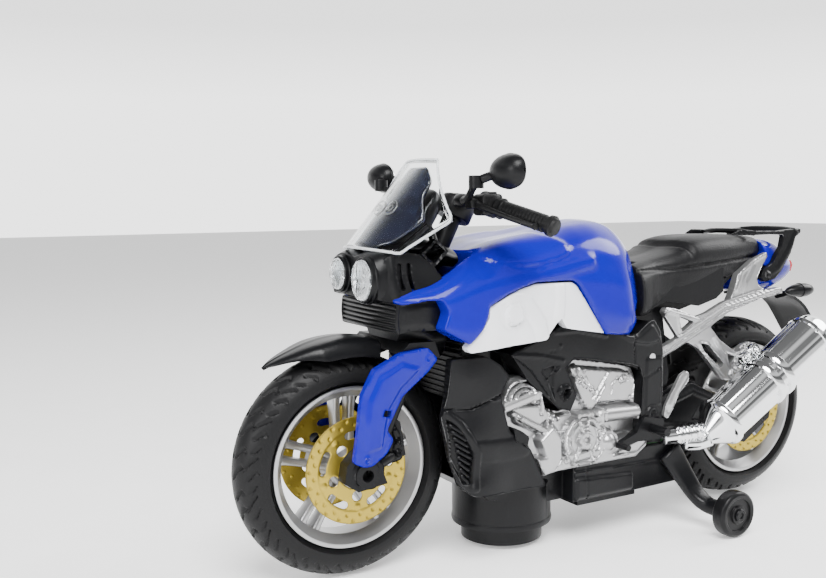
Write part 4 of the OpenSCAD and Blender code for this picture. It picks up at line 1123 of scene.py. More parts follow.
def build_fairings():
    seam = [(71.6, 59.8), (62.8, 58.8), (49.8, 62.8)]
    spots = [(69, 77, 23), (55, 77, 24.2), (48, 70, 24.4), (62, 70, 24.8), (50, 62, 24.8), (63, 59, 24.4), (71, 58,
        21.6),
             (60, 43, 26.0), (64, 49, 25.4), (62.6, 30, 25.2), (48, 50, 25.2), (40, 43, 25), (30, 26, 24.8), (45,
                 30, 25.6),
             (50, 40, 25.8), (69, 42, 21.6), (65, 31, 21.8), (37, 36, 25)]
    base = surface_through(spots)
    vent = [(70.8, 56.6), (66.6, 52.6), (61.4, 43), (62.2, 32), (64.6, 31.6), (69, 42)]
    lower = lambda x, z: np.where(z < 60.8, -0.5 * ramp((59.4 + np.clip(63 - x, 0, 20) * 0.27 - z) / 0.8), 0)
    ridge = bar([(70.6, 57.8), (66.4, 54), (60.2, 43), (61.4, 30.4)], 1.5, 1.0)
    fold = bar([(60.4, 43.4), (48, 42.4), (40, 42.6)], 4.0, 0.5)
    pit = slab(vent, -1.7, 0.7)
    panel = relief("fairing_skin_left", rounded(FAIRING_EDGE, 1.0), base, 19.4, [flush, ridge, fold],
                   [groove(seam, 0.5, 0.7), lower, pit],
                   step=0.55)
    parts = [panel]
    for i in range(9):
        ends = [(69.9 - i * 0.62, 54.0 - i * 2.35), (63.3 - i * 0.28 + abs(i - 4) * 0.42, 50.4 - i * 2.3)]
        line = [(ends[0][0] + (ends[1][0] - ends[0][0]) * t,
            ends[0][1] + (ends[1][1] - ends[0][1]) * t) for t in (0, 0.5, 1)]
        parts.append(tube("slat", [(x, float(base(np.array([x]), np.array([z]))[0]) - 0.75, z) for x, z in line],
            0.62, sides=8, per_span=2))
    left_and_right(join("fairing_skin_left", parts), "fairing_black", "fairing_skin", "fairing")


SPAR_EDGE = [
    (45.6, 76.6), (36, 80.4), (27, 84.4), (23, 86), (12, 84.6), (-2, 81.8), (-9.6, 79.6), (-14, 80), (-20,
        84), (-23, 84.8),
    (-26.4, 80), (-28, 72), (-28.4, 46), (-28.2, 36), (-20, 35.8), (-18.4, 41.4), (-16.8, 44), (-17.2, 62), (-15.4,
        66.8),
    (-10, 68.6), (17.2, 73.4), (21.2, 70), (15.6, 58.8), (18, 53.2), (24, 54.6), (29, 60.6), (36, 69.6), (41, 73.6)
]


def build_spars():
    raised = [
        flush,
        slab(rounded([(12, 84), (-4, 80.6), (-10, 76.6), (-20, 74.6), (-27.6, 76), (-22, 84), (-14, 79.4)], 2.4),
            0.9, 1.2),
        bar([(44, 76.4), (33, 75.2), (22.6, 72.6)], 0.8, 0.5), bar([(26.4, 83.4), (16, 83.6), (2, 80.4)], 0.7, 0.6),
        disc(21.2, 60.6, 3.0, 1.6, 0.6), ring(21.2, 60.6, 2.1, 0.8, 2.0),
        slab(rounded([(-27.6, 70), (-18.4, 70), (-18.4, 50), (-27.6, 50)], 1.2), 0.5, 0.8),
        bar([(24.6, 70), (29.6, 66), (26, 58)], 0.6, 0.8), disc(-22.6, 47.6, 3.4, 1.2, 0.6), disc(24, 78.4, 0.7,
            0.4, 0.2),
        bar([(-28, 44), (-18.6, 45)], 0.7, 0.6), disc(-25.4, 40.6, 1.6, 1.0, 0.4),
    ]
    dents = [
        disc(21.2, 60.6, 1.5, -2.2, 0.3), disc(-22.6, 47.6, 1.3, -0.8, 0.3), groove([(-12, 81), (-12.4, 69)], 0.35,
            0.6),
        groove([(-28, 66), (-17.4, 62)], 0.3, 0.4), disc(26.4, 76.8, 0.45, -0.4, 0.15), disc(27.8, 76.6, 0.45,
            -0.4, 0.15),
        slab(rounded([(25.4, 71.4), (32, 69.8), (26.4, 62)], 1.0), -1.3, 0.8),
    ]
    spots = [(45, 76, 24.2), (27, 84, 25.2), (5, 82, 25), (-12, 79, 24.8), (-24, 84, 24), (-28, 70, 24), (-28, 50, 24),
             (-24, 37, 24), (-17, 50, 24.6), (-16, 66, 24.9), (0, 74, 25.6), (18, 76, 25.6), (30, 72, 24.8), (20,
                 56, 24.2), (36, 78, 25)]
    skin = relief("spar_skin_left", rounded(SPAR_EDGE, 1.0), surface_through(spots), 23.2, raised, dents, step=0.6)
    both_sides("frame_spar_skins", skin, "black_plastic")


TURRET_AXIS = (33, 0, 0)


def build_belly():
    """Raised ledges and seams on the belly tray, and bands round the turret's housing."""
    parts = []
    outline = rounded([(15.6, 34.4), (15.6, 17.4), (-16, 17.4), (-38, 17.8), (-39.8, 34.4)], 0.8)
    raised = [flush, slab(rounded([(14.8, 26.4), (14.8, 17.8), (-13.6, 17.8), (-13.6, 24.6)], 0.6), 1.1, 0.6),
              bar([(15, 28.6), (-38, 27.2)], 0.5, 0.5), disc(-34, 23.4, 1.5, 0.6, 0.4)]
    left = relief("belly", outline, 23.6, 22.9, raised, [groove([(9.6, 34), (9.6, 17.6)], 0.3, 0.4)], step=0.7)
    parts += [left, mirrored("belly_b", left)]
    for band in ([(8.0, 19.0), (8.0, 19.5), (9.0, 19.75), (10.2, 19.5), (10.2, 19.0)],
                 [(24.2, 19.0), (24.2, 19.55), (25.2, 19.75), (26.0, 19.5), (26.0, 19.0)]):
        parts.append(turned("band", band, TURRET_AXIS, (0, 0, 1), 120))
    dress(join("belly_trim", parts), "fairing_black")


BUILDERS += [build_engine, build_fairings, build_spars, build_belly]

# ---------- nose: lamps, grille, cheeks, screen and instruments ----------

LAMPS = (((97.2, 10.2, 105), 7.0), ((97.6, -8.4, 106.2), 5.6))


def lamp_set(name, centre, r):
    """A lamp's bucket, bowl, bulb and fluted lens, looking forward."""
    x, y, z = centre
    axis = (1, 0, 0.02)
    bucket = turned("bucket", [
        (-17, 2.0), (-15, r * 0.72), (-9, r + 0.5), (-6.6, r + 0.7), (-6.2, r + 1.1), (-5.4, r + 1.1), (-5.0, r + 0.8),
        (-3.4, r + 0.9), (-3.0, r + 1.2), (-2.2, r + 1.2), (-1.9, r + 0.9), (-0.7, r + 0.9), (-0.3,
            r + 0.5), (-0.6, r + 0.15),
        (-2.6, r - 0.1), (-2.8, 2.0)
    ], (x, y, z), axis, 72)
    paint(bucket, "black_plastic")
    bowl = turned("bowl", [(-2.7, 1.6), (-2.5, 2.2), (-2.3, r * 0.55), (-1.9, r * 0.82), (-0.9, r - 0.2), (-0.5,
        r + 0.05), (-2.72, r + 0.05)],
                  (x, y, z), axis, 72)
    paint(bowl, "chrome_trim")
    bulb = turned("bulb", [(-2.4, 0.4), (-2.2, 1.5), (-1.7, 1.5), (-1.5, 1.1), (-0.9, 1.0), (-0.6, 0.5), (-0.5,
        0.1)], (x, y, z), axis, 28)
    paint(bulb, "white_gloss")
    backing = join(name + "_lamp", [bucket, bowl, bulb])
    lens = turned(name + "_lens", [
        (-0.35, r - 0.1), (0.0, r), (0.25, r - 0.1), (0.6, r * 0.85), (0.95, r * 0.6), (1.15, r * 0.3), (1.2, 0.3),
        (0.75, 0.3), (0.6, r * 0.3), (0.4, r * 0.6), (0.1, r * 0.84), (-0.35, r - 0.5)
    ], (x, y, z), axis, 96)
    bm = bmesh.new()
    bm.from_mesh(lens.data)
    for vert in bm.verts:
        dy, dz = vert.co.y / MM - y, vert.co.z / MM - z
        if math.hypot(dy, dz) < r * 0.86 and vert.co.x / MM - x > 0.5:
            vert.co.x += 0.16 * MM * math.cos(dy * 4.2) * math.cos(dz * 1.4)
    bm.to_mesh(lens.data)
    bm.free()
    paint(lens, "clear_plastic")
    return backing, lens


def build_lamps():
    big, big_lens = lamp_set("big", *LAMPS[0])
    small, small_lens = lamp_set("small", *LAMPS[1])
    place(join("headlight_buckets", [big, small]), "chassis", "black_plastic", ["headlight_housing",
        "headlight_reflectors"])
    place(join("headlight_glasses", [big_lens, small_lens]), "chassis", "clear_plastic", ["headlight_lenses"])
    brow = loft("lamp_brow", [
        (94.6, [(17.4, 99), (18.0, 102), (17.6, 108), (14.4, 112.4), (7.4, 113.6), (0, 112.4)]),
        (91, [(18, 98), (18.6, 102), (18.2, 109), (15, 113.6), (7.6, 114.8), (0, 113.8)]),
        (84, [(18, 98), (18.4, 102), (18.2, 109), (15, 113.8), (7.6, 115.2), (0, 114.8)]),
        (78, [(16, 98), (16.6, 102), (16.4, 108), (13, 112), (7, 113.6), (0, 113.4)]),
    ], around=6, along=4)
    for (x, y, z), r in LAMPS:
        boolean(brow, moved(turned("tool", [(-6, r + 0.9), (14, r + 0.9)], (x, y, z), (1, 0, 0), 64)), "DIFFERENCE")
    dress(split_sharp(brow, 35), "black_plastic")


def build_grille():
    parts = [prism("box", [(89, 97.2), (89.2, 87.2), (86.6, 87.6), (86.6, 97.2)], -21.6, 21.6)]
    for i in range(6):
        z = 88.2 + i * 1.62
        parts.append(tube("rib", [(89.3 - i * 0.02, -21 + i * 0.1, z), (90.2, 0, z), (89.3 - i * 0.02,
            21 - i * 0.1, z)], 0.55, sides=8, per_span=8))
    for y in (-21.2, 21.2):
        parts.append(tube("post", [(89.0, y, 87.6), (89.4, y, 92), (88.8, y, 97)], 0.7, sides=8, per_span=3))
    cheek = relief("cheek", rounded([(89, 97.2), (89.2, 87.2), (84, 88.2), (75, 87.6), (72.4, 90.4), (71, 94), (73,
        97.4), (76.6, 98.4)], 1.6),
                   surface_through([(89, 97, 21.6), (89, 87, 21.6), (84, 92, 22.2), (78, 97, 22.6), (75, 89, 22.6),
                       (71, 94, 22.2)]),
                   19.8, [slab(rounded([(88, 96.2), (88.2, 88.6), (84, 89.4), (75.6, 88.8), (73.6, 91), (72.4, 94),
                       (74, 96.4), (77, 97.2)], 1.4), 0.4, 0.8)],
                   [], step=0.8)
    parts += [cheek, mirrored("cheek_b", cheek)]
    dress(split_sharp(join("nose_grille_skin", parts), 40), "fairing_black", ["nose_grille"])


def build_cheeks():
    """Side cheeks with two curved slots, the frame box behind them and the duct along the tank's edge."""
    edge = rounded([(93.4, 98.4), (94, 106), (91.4, 112.6), (86, 114.6), (79, 113.6), (73.6, 109.4), (71, 104.8),
        (75.8, 99.6), (86.8, 97.2)], 1.2)
    slot_a = kidney(76, 107, 11.4, 1.5, -4, 40)
    slot_b = kidney(72.6, 107, 11.4, 1.5, -4, 40)
    base = surface_through([(94, 99, 17.6), (92, 112, 17), (86, 98, 21), (82, 106, 20.6), (80, 113, 18.2), (72,
        104, 21), (75, 110, 18.8), (88, 106, 19.8)])
    cheek = relief("cheek_plate", edge, base, 16.4, [bar([(89.6, 113), (90, 106), (88.4, 98.6)], 1.2, 0.6), flush],
                   [], step=0.7, holes=[slot_a, slot_b])
    parts = [cheek, mirrored("cheek_plate_b", cheek)]
    box_edge = rounded([(77.6, 113.4), (71.8, 118.6), (66.6, 114.2), (72.4, 108.8)], 0.6)
    box_hole = rounded([(76.2, 113.3), (71.8, 117.2), (68.2, 114.2), (72.6, 110.2)], 0.4)
    box = relief("box", box_edge, 17.4, 14, [bar([(72.2, 117.6), (68, 114.0)], 0.4, 0.4), flush], [],
                 step=0.8, holes=[box_hole])
    other_box = mirrored("box_b", box)
    for s, frame_box in ((1, box), (-1, other_box)):
        parts.append(frame_box)
        parts.append(tube("stay", [(84, s * 13, 114), (80, s * 15, 118), (74.6, s * 17, 123)], [1.4, 1.3, 1.2],
            sides=12))
        parts.append(tube("stay_b", [(70, s * 14, 114), (70, s * 12, 119), (71, s * 9, 124)], [1.6, 1.5, 1.4],
            sides=12))
    parts.append(loft("deck", [
        (90, [(6, 113), (10, 114), (8, 115.2), (0, 115.6)]), (80, [(8, 113), (13, 115), (10, 117), (0, 117.6)]),
        (70, [(9, 111), (14, 113.6), (10, 117.4), (0, 118.6)]), (60, [(9, 108), (13, 110.6), (9, 114), (0, 115)]),
    ], around=5, along=4))
    parts.append(loft("chin", [
        (84, [(4, 80), (9, 82), (13, 88), (0, 89)]), (78, [(4, 77), (12, 79), (16, 88), (0, 89)]),
        (71, [(4, 75), (12, 77), (15, 86), (0, 89)]), (66, [(4, 75), (11, 77), (14, 86), (0, 88)]),
    ], around=4, along=3))
    parts.append(block("radiator", (50, -18.6, 60), (62, 18.6, 83), 0.8))
    for i in range(11):
        parts.append(block("fin", (61.8, -17.8, 61.2 + i * 2), (62.8, 17.8, 62 + i * 2), 0.2))
    dress(split_sharp(join("nose_cover_skin", parts), 38), "black_plastic", ["nose_cover"])


def screen_point(u, v):
    """A point on the screen: u from -1 to 1 across, v from 0 at the bottom to 1 at the top."""
    half = 19.6 + 7.2 * v / 0.4 if v < 0.4 else 26.8 - 15.8 * (v - 0.4) / 0.6
    y = u * half
    bow = (abs(y) / 27) ** 2
    x = 95.6 - 26.6 * v - 16 * bow * (1 - 0.25 * v)
    z = 115.8 + 30 * v - bow * (1 - v) - 2.2 * bow
    return x, y, z


def build_screen():
    nu, nv = 36, 30
    points = [screen_point(-1 + 2 * i / nu, j / nv) for j in range(nv + 1) for i in range(nu + 1)]
    sheet = mesh_from("windscreen_sheet", points, grid_faces(nv + 1, nu + 1, wrap_columns=False))
    dress(thicken(sheet, 1.1), "clear_plastic", ["windscreen"])
    loop = [screen_point(-1 + 2 * i / 20, 0) for i in range(20)] + [screen_point(1, j / 16) for j in range(16)]
    loop += [screen_point(1 - 2 * i / 20, 1) for i in range(20)] + [screen_point(-1, 1 - j / 16) for j in range(16)]
    loop.append(loop[0])
    edge = tube("windscreen_edge", loop, 0.5, sides=8, per_span=2, cap=False)
    place(paint(edge, "clear_edge"), "chassis", "clear_plastic")
    mask_u = [(-0.62, 0.12), (-0.42, 0.05), (0.42, 0.05), (0.62, 0.12), (0.7, 0.36), (0.62, 0.62), (0.74, 0.82),
        (0.5, 0.95),
              (-0.5, 0.95), (-0.74, 0.82), (-0.62, 0.62), (-0.7, 0.36)]
    outline = rounded(mask_u, 0.06, 3)
    gu, gv = np.meshgrid(np.linspace(-0.8, 0.8, 41), np.linspace(0, 1, 41))
    gu, gv = gu.ravel(), gv.ravel()
    keep = inside(outline, gu, gv) & (edge_distance(outline, gu, gv) > 0.015)
    flat = [Vector(p) for p in outline] + [Vector(p) for p in zip(gu[keep], gv[keep])]
    ring_edges = [(i, (i + 1) % len(outline)) for i in range(len(outline))]
    verts, _, tris, _, _, _ = geometry.delaunay_2d_cdt(flat, ring_edges, [], 1, 1e-6)
    points = []
    for u, v in verts:
        x, y, z = screen_point(u, v)
        points.append((x - 1.5, y, z - 1.3))
    mask = mesh_from("instrument_mask", points, [tuple(t) for t in tris])
    parts = [paint(thicken(mask, 1.2), "mask_navy")]
    for y in (4.4, -4.4):
        for r0, lift in ((3.1, 0.0), (1.3, 0.25)):
            x, _, z = screen_point(y / 24, 0.47)
            rim = [(x - 1.0 + lift, y + r0 * math.cos(a), z - 1.0 + r0 * math.sin(a) * 0.7)
                   for a in np.linspace(0, 2 * math.pi, 25)]
            rim = [(px - 0.74 * (pz - z + 1.0), py, pz) for px, py, pz in rim]
            parts.append(paint(tube("dial", rim, 0.28, sides=6, per_span=1, cap=False), "silver_paint"))
    cowl = loft("cowl", [
        (88, [(4, 113), (8, 115), (7, 117.6), (0, 118)]), (80, [(5, 113), (10, 117), (9, 122.6), (0, 124)]),
        (72, [(5, 115), (11, 121), (9.6, 129), (0, 131)]), (66, [(4, 122), (9, 127), (8, 134), (0, 135.6)]),
        (63, [(3, 126), (6, 129), (5, 133), (0, 134)]),
    ], around=6, along=5)
    parts.append(paint(cowl, "black_plastic"))
    place(join("instrument_cowl", parts), "chassis", "black_plastic", ["instrument_panel"])


BUILDERS += [build_lamps, build_grille, build_cheeks, build_screen]

# ---------- tail frame, exhaust, swingarm and controls ----------

def build_subframes():
    frame_edge = [
        (-30.4, 72), (-31.4, 67.6), (-46, 73.4), (-52, 70), (-66.4, 55.6), (-72.4, 54.6), (-75, 57.6), (-78,
            58.6), (-87.6, 64),
        (-88.8, 67.6), (-83, 70.6), (-77.6, 69.6), (-74.4, 66.6), (-64.4, 72.8), (-58.8, 78.6), (-68, 84.2), (-86,
            88.6),
        (-101, 90.6), (-100, 93), (-84, 92), (-66, 88.6), (-56, 84.6), (-50.6, 83.4), (-40, 87.2), (-33.4,
            88.4), (-31.8, 86.6),
        (-40.6, 75.8)
    ]
    holes = [
        rounded([(-40.2, 84.6), (-48.6, 81.6), (-42, 77.6)], 1.2, 3),
        rounded([(-52.6, 72.4), (-57, 71.6), (-66.6, 62.6), (-64.8, 60.8), (-55, 68.6)], 1.2, 3),
        rounded([(-68.2, 66.8), (-73, 65), (-70, 61.6)], 0.7, 3),
    ]
    raised = [
        flush,
        bar([(-31, 70.2), (-46, 76.2), (-67, 85.2), (-99, 91.4)], 2.0, 1.1, 0.8),
        *[bar([*hole, hole[0]], 0.7, 0.8) for hole in holes],
        bar([(-33.4, 87.2), (-52, 82)], 0.7, 0.7), bar([(-61, 74.4), (-74, 57.4)], 0.7, 0.7), bar([(-50, 71), (-68,
            56)], 0.7, 0.7),
        disc(-33.6, 86.4, 1.3, 1.1, 0.4),
        *[bar([(-75.6 - i * 2.1, 68.4 - i * 0.1), (-73.6 - i * 2.5, 59.4 + i * 1.0)], 0.6, 1.8) for i in range(6)],
        slab(rounded([(-74, 59), (-86, 64.4), (-86, 68), (-76, 68.4)], 0.8), 0.9, 0.5),
        disc(-72.6, 57.6, 2.4, 1.6, 0.5), disc(-83.6, 69.4, 1.8, 1.8, 0.5), disc(-87, 66, 1.8, 1.8, 0.5)
    ]
    dents = [groove([(-31.4, 70.2), (-46, 76.2), (-67, 85.2), (-98, 91.2)], 0.4, 0.5), disc(-72.6, 57.6, 1.0, -0.8,
        0.3),
             disc(-83.6, 69.4, 0.8, -0.8, 0.3), disc(-33.6, 86.4, 0.6, -0.5, 0.2)]
    lattice = relief("lattice", rounded(frame_edge, 0.9), 19.2, 17.2, raised, dents, step=0.5, holes=holes)
    fin_edge = [(-69, 84.4), (-73, 92), (-76, 99.8), (-84.6, 105), (-94.6, 108.4), (-95.6, 106.6), (-91.4, 102.4),
        (-87.6, 97.6), (-88.4, 94.4),
                (-93.6, 92), (-99, 91.6), (-99, 90), (-84, 88.4)]
    fin = relief("fin", rounded(fin_edge, 1.2),
                 surface_through([(-69, 85, 17.6), (-74, 93, 17.8), (-78, 101, 17.2), (-94, 108, 15.8), (-88, 98,
                     17.2), (-98, 91, 16.6), (-84, 90, 17.8), (-80, 96, 18.2)]),
                 14.4, [flush, bar([(-74.6, 93), (-78, 100.4), (-86, 104.6), (-93.6, 107.4)], 0.8, 0.5)],
                 [groove([(-79, 89), (-80.6, 97), (-86.4, 103.4)], 1.0, 0.35)], step=0.6)
    left_and_right(join("tail_frame_left", [lattice, fin]), "silver_paint", "tail_frame", "subframe")


MUFFLER_A = Vector((-50.5, 32.5, 40.6))
MUFFLER_B = Vector((-105.5, 35.5, 75.6))
FLUTE_DEPTH = 0.06
FLUTED_FROM, FLUTED_TO, BAND_RADIUS = 4, 58, 10.35


def build_exhaust():
    axis = (MUFFLER_B - MUFFLER_A).normalized()
    up = Vector((0, 0, 1))
    up = (up - axis * up.dot(axis)).normalized()
    side = axis.cross(up)
    stations = [(-7.6, 3.7), (-6.6, 4.2), (-1.4, 8.2), (-0.2, 8.8), (0.6, 9.6), (1.0, 10.2), (1.6, 10.5), (3.2,
        10.5), (3.8, 10.2), (4.2, 9.6),
                (27.2, 9.9), (27.6, 10.5), (28.2, 10.7), (30.0, 10.7), (30.6, 10.5), (31.0, 10.0), (33.4,
                    10.0), (33.8, 10.5), (34.4, 10.7),
                (36.2, 10.7), (36.8, 10.5), (37.2, 10.0), (57.6, 10.2), (58.0, 10.5), (59.6, 10.4), (60.2,
                    10.0), (62.6, 9.2), (64.6, 8.2),
                (65.6, 7.2), (65.8, 4.8), (67.4, 4.5), (67.8, 4.0), (67.8, 3.4), (63.6, 3.3), (63.6, 0.4)]
    n = 96
    points = []
    for t, r in stations:
        for k in range(n):
            a = 2 * math.pi * k / n
            fluted = abs(math.cos(3 * a + 0.5)) ** 6
            q = r * (1 - FLUTE_DEPTH * fluted if FLUTED_FROM < t < FLUTED_TO and r < BAND_RADIUS else 1)
            points.append(tuple(MUFFLER_A + axis * t + (up * math.cos(a) * 1.03 + side * math.sin(a) * 0.97) * q))
    body = split_sharp(mesh_from("body", points, grid_faces(len(stations), n, ends=(1, 1))), 30)

    def at(t, u, v):
        return tuple(MUFFLER_A + axis * t + up * u + side * v)

    parts = [body]
    parts.append(tube("bracket", [at(29, 9.4, -5.5), at(28, 11.4, -6), (-73.4, 25.4, 64.4), (-74, 21.4, 61.6)],
        [2.0, 1.9, 1.7, 2.0], sides=14))
    for t, u, v in ((29, 11.6, -4.6), (35.4, 11.2, -5.4)):
        parts.append(turned("bolt", [(-1.4, 0.3), (-1.4, 2.4), (1.0, 2.4), (1.4, 2.1), (1.4, 1.3), (0.8, 1.1),
            (0.8, 0.3)], at(t, u, v), (0, 1, 0.2), 24))
    parts.append(tube("link", [at(36, 9.8, -5), at(33, 12.2, -6), (-76, 21.6, 65)], [1.2, 1.2, 1.1], sides=12))
    dress(join("muffler_skin", parts), "chrome_trim", ["muffler"])
    # A black disc at the bottom of the tail pipe's bore: painted shade that stands in for the dark inside of the hollow
    # pipe.
    cap = turned("painted_shade_bore", [(0, 0.2), (0, 3.3), (0.4, 3.3), (0.4, 0.2)], at(63.9, 0, 0), tuple(axis), 32)
    dress(cap, "black_plastic")
    start = Vector((-27.6, 25.6, 37.2))
    path = [tuple(start), (-32, 26.6, 37.4), (-36, 28, 37.8), (-40.4, 29.2, 38.2), (-43.6, 30.4, 38.6), at(-6.4, 0, 0)]
    pipe = tube("exhaust_pipe_skin", path, [3.2, 3.3, 3.6, 3.6, 3.6, 4.0], sides=32, per_span=18,
                profile=lambda t: 1 + (0.16 * abs(math.sin((t - 0.24) * 24)) ** 1.5 if 0.24 < t < 0.9 else 0))
    shield = tube("shield", [(-36, 28.6, 34.2), (-42, 30, 34), (-47, 31, 35.4)], [2.6, 3.0, 3.6], sides=24)
    dress(join("exhaust_pipe_skin", [pipe, shield]), "chrome_trim", ["exhaust_pipe"])


def build_heel_guards():
    edge = rounded([(-31.6, 54), (-36.6, 61.6), (-39.8, 63), (-41.2, 61.8), (-40.8, 58.6), (-34.6, 52.8), (-33,
        48.4), (-30, 44.4), (-28, 46), (-29, 50)], 0.9)
    guard = relief("guard", edge, 25.4, 24.0, [flush, bar([(-32, 50), (-34.6, 55), (-39.4, 61)], 1.6, 0.6)],
                   [disc(-30.4, 47.2, 0.8, -0.5, 0.3)], step=0.5)
    both_sides("heel_guard_skins", guard, "silver_paint", ["heel_guards"])


def build_swingarm_skin():
    edge = rounded([(-31, 51), (-31, 39), (-44, 36), (-66, 33), (-72, 28.6), (-80, 27.4), (-94, 34), (-96.8, 40),
        (-96, 45.6), (-90, 49), (-66, 48), (-50, 56), (-40, 54)], 1.6)
    holes = [rounded([(-50, 40.4), (-64, 38.4), (-66, 43.6), (-56, 47.4)], 1.6, 3)]
    raised = [flush, bar([(-34, 48), (-50, 52.4), (-66, 45.6), (-84, 45)], 1.2, 0.9), bar([(-34, 40), (-48, 38),
        (-68, 35.6), (-82, 30)], 1.0, 0.8),
              disc(-89, 39.6, 6.2, 1.6, 0.8), ring(-89, 39.6, 4.6, 0.9, 2.2), disc(-89, 39.6, 2.8, 2.4, 0.4),
              disc(-71, 34.4, 1.4, 1.2, 0.4), disc(-78, 33, 1.1, 1.2, 0.4), disc(-84, 34.6, 1.1, 1.2, 0.4)]
    dents = [groove([(-68, 42), (-82, 42.6)], 0.8, 0.5), disc(-89, 39.6, 1.2, -1.2, 0.3)]
    arm = relief("swing_skin", edge, 18.6, 17.0, raised, dents, step=0.6, holes=holes)
    dress(arm, "black_plastic")


def build_grab_rail():
    edge = [(-75, 116), (-79.6, 118), (-90, 117.4), (-102, 117.2), (-113.6, 118), (-115.4, 117.8), (-115, 116),
        (-111.4, 114.6), (-109.2, 107.6), (-102.6, 99.6),
            (-99, 96.6), (-93, 95.4), (-91, 97.6), (-92.6, 101), (-98, 103.6), (-103.4, 110), (-104.6,
                115.4), (-96, 115.8), (-84, 115.6)]
    blade = relief("blade", rounded(edge, 1.0), surface_through([(-76, 117, 13.6), (-90, 116, 15.4), (-114, 117,
        16.4), (-108, 107, 16.8), (-94, 98, 16.8), (-102, 104, 17)]),
                   14.0, [flush, bar([(-112.6, 116), (-107.4, 108), (-101, 101), (-94.4, 98)], 1.3, 0.5),
                       disc(-94.4, 98.2, 1.9, 1.0, 0.5)],
                   [disc(-94.4, 98.2, 0.9, -0.8, 0.3)], step=0.6)
    other = mirrored("blade_b", blade)
    bridge = tube("bridge", [(-112.4, -15, 116.8), (-113.6, -8, 117.3), (-114, 0, 117.4), (-113.6, 8, 117.3),
        (-112.4, 15, 116.8)], 1.5, sides=12)
    front = tube("front", [(-88, -14.6, 116.4), (-86, -8, 117.2), (-85.4, 0, 117.4), (-86, 8, 117.2), (-88, 14.6,
        116.4)], 1.1, sides=12)
    dress(join("grab_rail_skin", [blade, other, bridge, front]), "black_plastic", ["grab_rail"])


def build_plate():
    """A bent plate holder with two raised ribs along its bend, and teardrop turn signals on stalks."""
    columns = [(-11, -0.0), (-10.4, 0.3), (-5, 0.5), (0, 0.5), (5, 0.5), (10.4, 0.3), (11, 0.0)]
    line = [(-98, 89.0), (-106, 89.2), (-113, 88.8), (-120, 87.2), (-127, 83), (-132, 77.6), (-136.4, 72), (-139.6,
        67.9)]
    path = spline(line, 5)
    points = [(x, y, z + lift) for x, z in path for y, lift in columns]
    parts = [thicken(mesh_from("plate", points, grid_faces(len(path), len(columns), wrap_columns=False)), 1.2)]
    for y in (-5, 5):
        parts.append(tube("rib", [(-121, y, 87.9), (-127, y, 84.2), (-131, y, 79.8)], [0.5, 1.1, 0.5], sides=10))
    for s in (1, -1):
        parts.append(tube("stalk", [(-110, s * 9, 88), (-111, s * 14, 89.4), (-111.4, s * 18, 90.4)], [1.6, 1.3,
            1.2], sides=14))
    dress(join("plate_holder", parts), "black_plastic", ["plate_bracket"])
    signals = []
    for s in (1, -1):
        profile = [(-8.6, 0.1), (-8.2, 0.9), (-6.8, 2.0), (-4, 3.2), (-0.6, 3.9), (2.6, 3.8), (5, 3.0), (6.4, 1.8),
            (6.9, 0.7), (7.0, 0.1)]
        signal = turned("signal", profile, (0, 0, 0), (-0.98, 0.12 * s, 0.02), 36)
        squash = Matrix.Diagonal((1, 0.92, 0.78, 1))
        moved(signal, squash, (-111.6, s * 20.6, 91.2))
        signals.append(signal)
        signals.append(moved(turned("seam", [(-0.3, 3.75), (-0.3, 4.08), (0.3, 4.08), (0.3, 3.75)], (0, 0, 0),
            (-0.98, 0.12 * s, 0.02), 36),
                             squash, (-111.0, s * 20.6, 91.2)))
    dress(join("turn_signals", signals), "fairing_black", ["rear_indicators"])


MIRROR_Y, MIRROR_Z = 44.2, 140.6
MIRROR_POST = (66, 34, 137.5)
RAKE = math.radians(28)


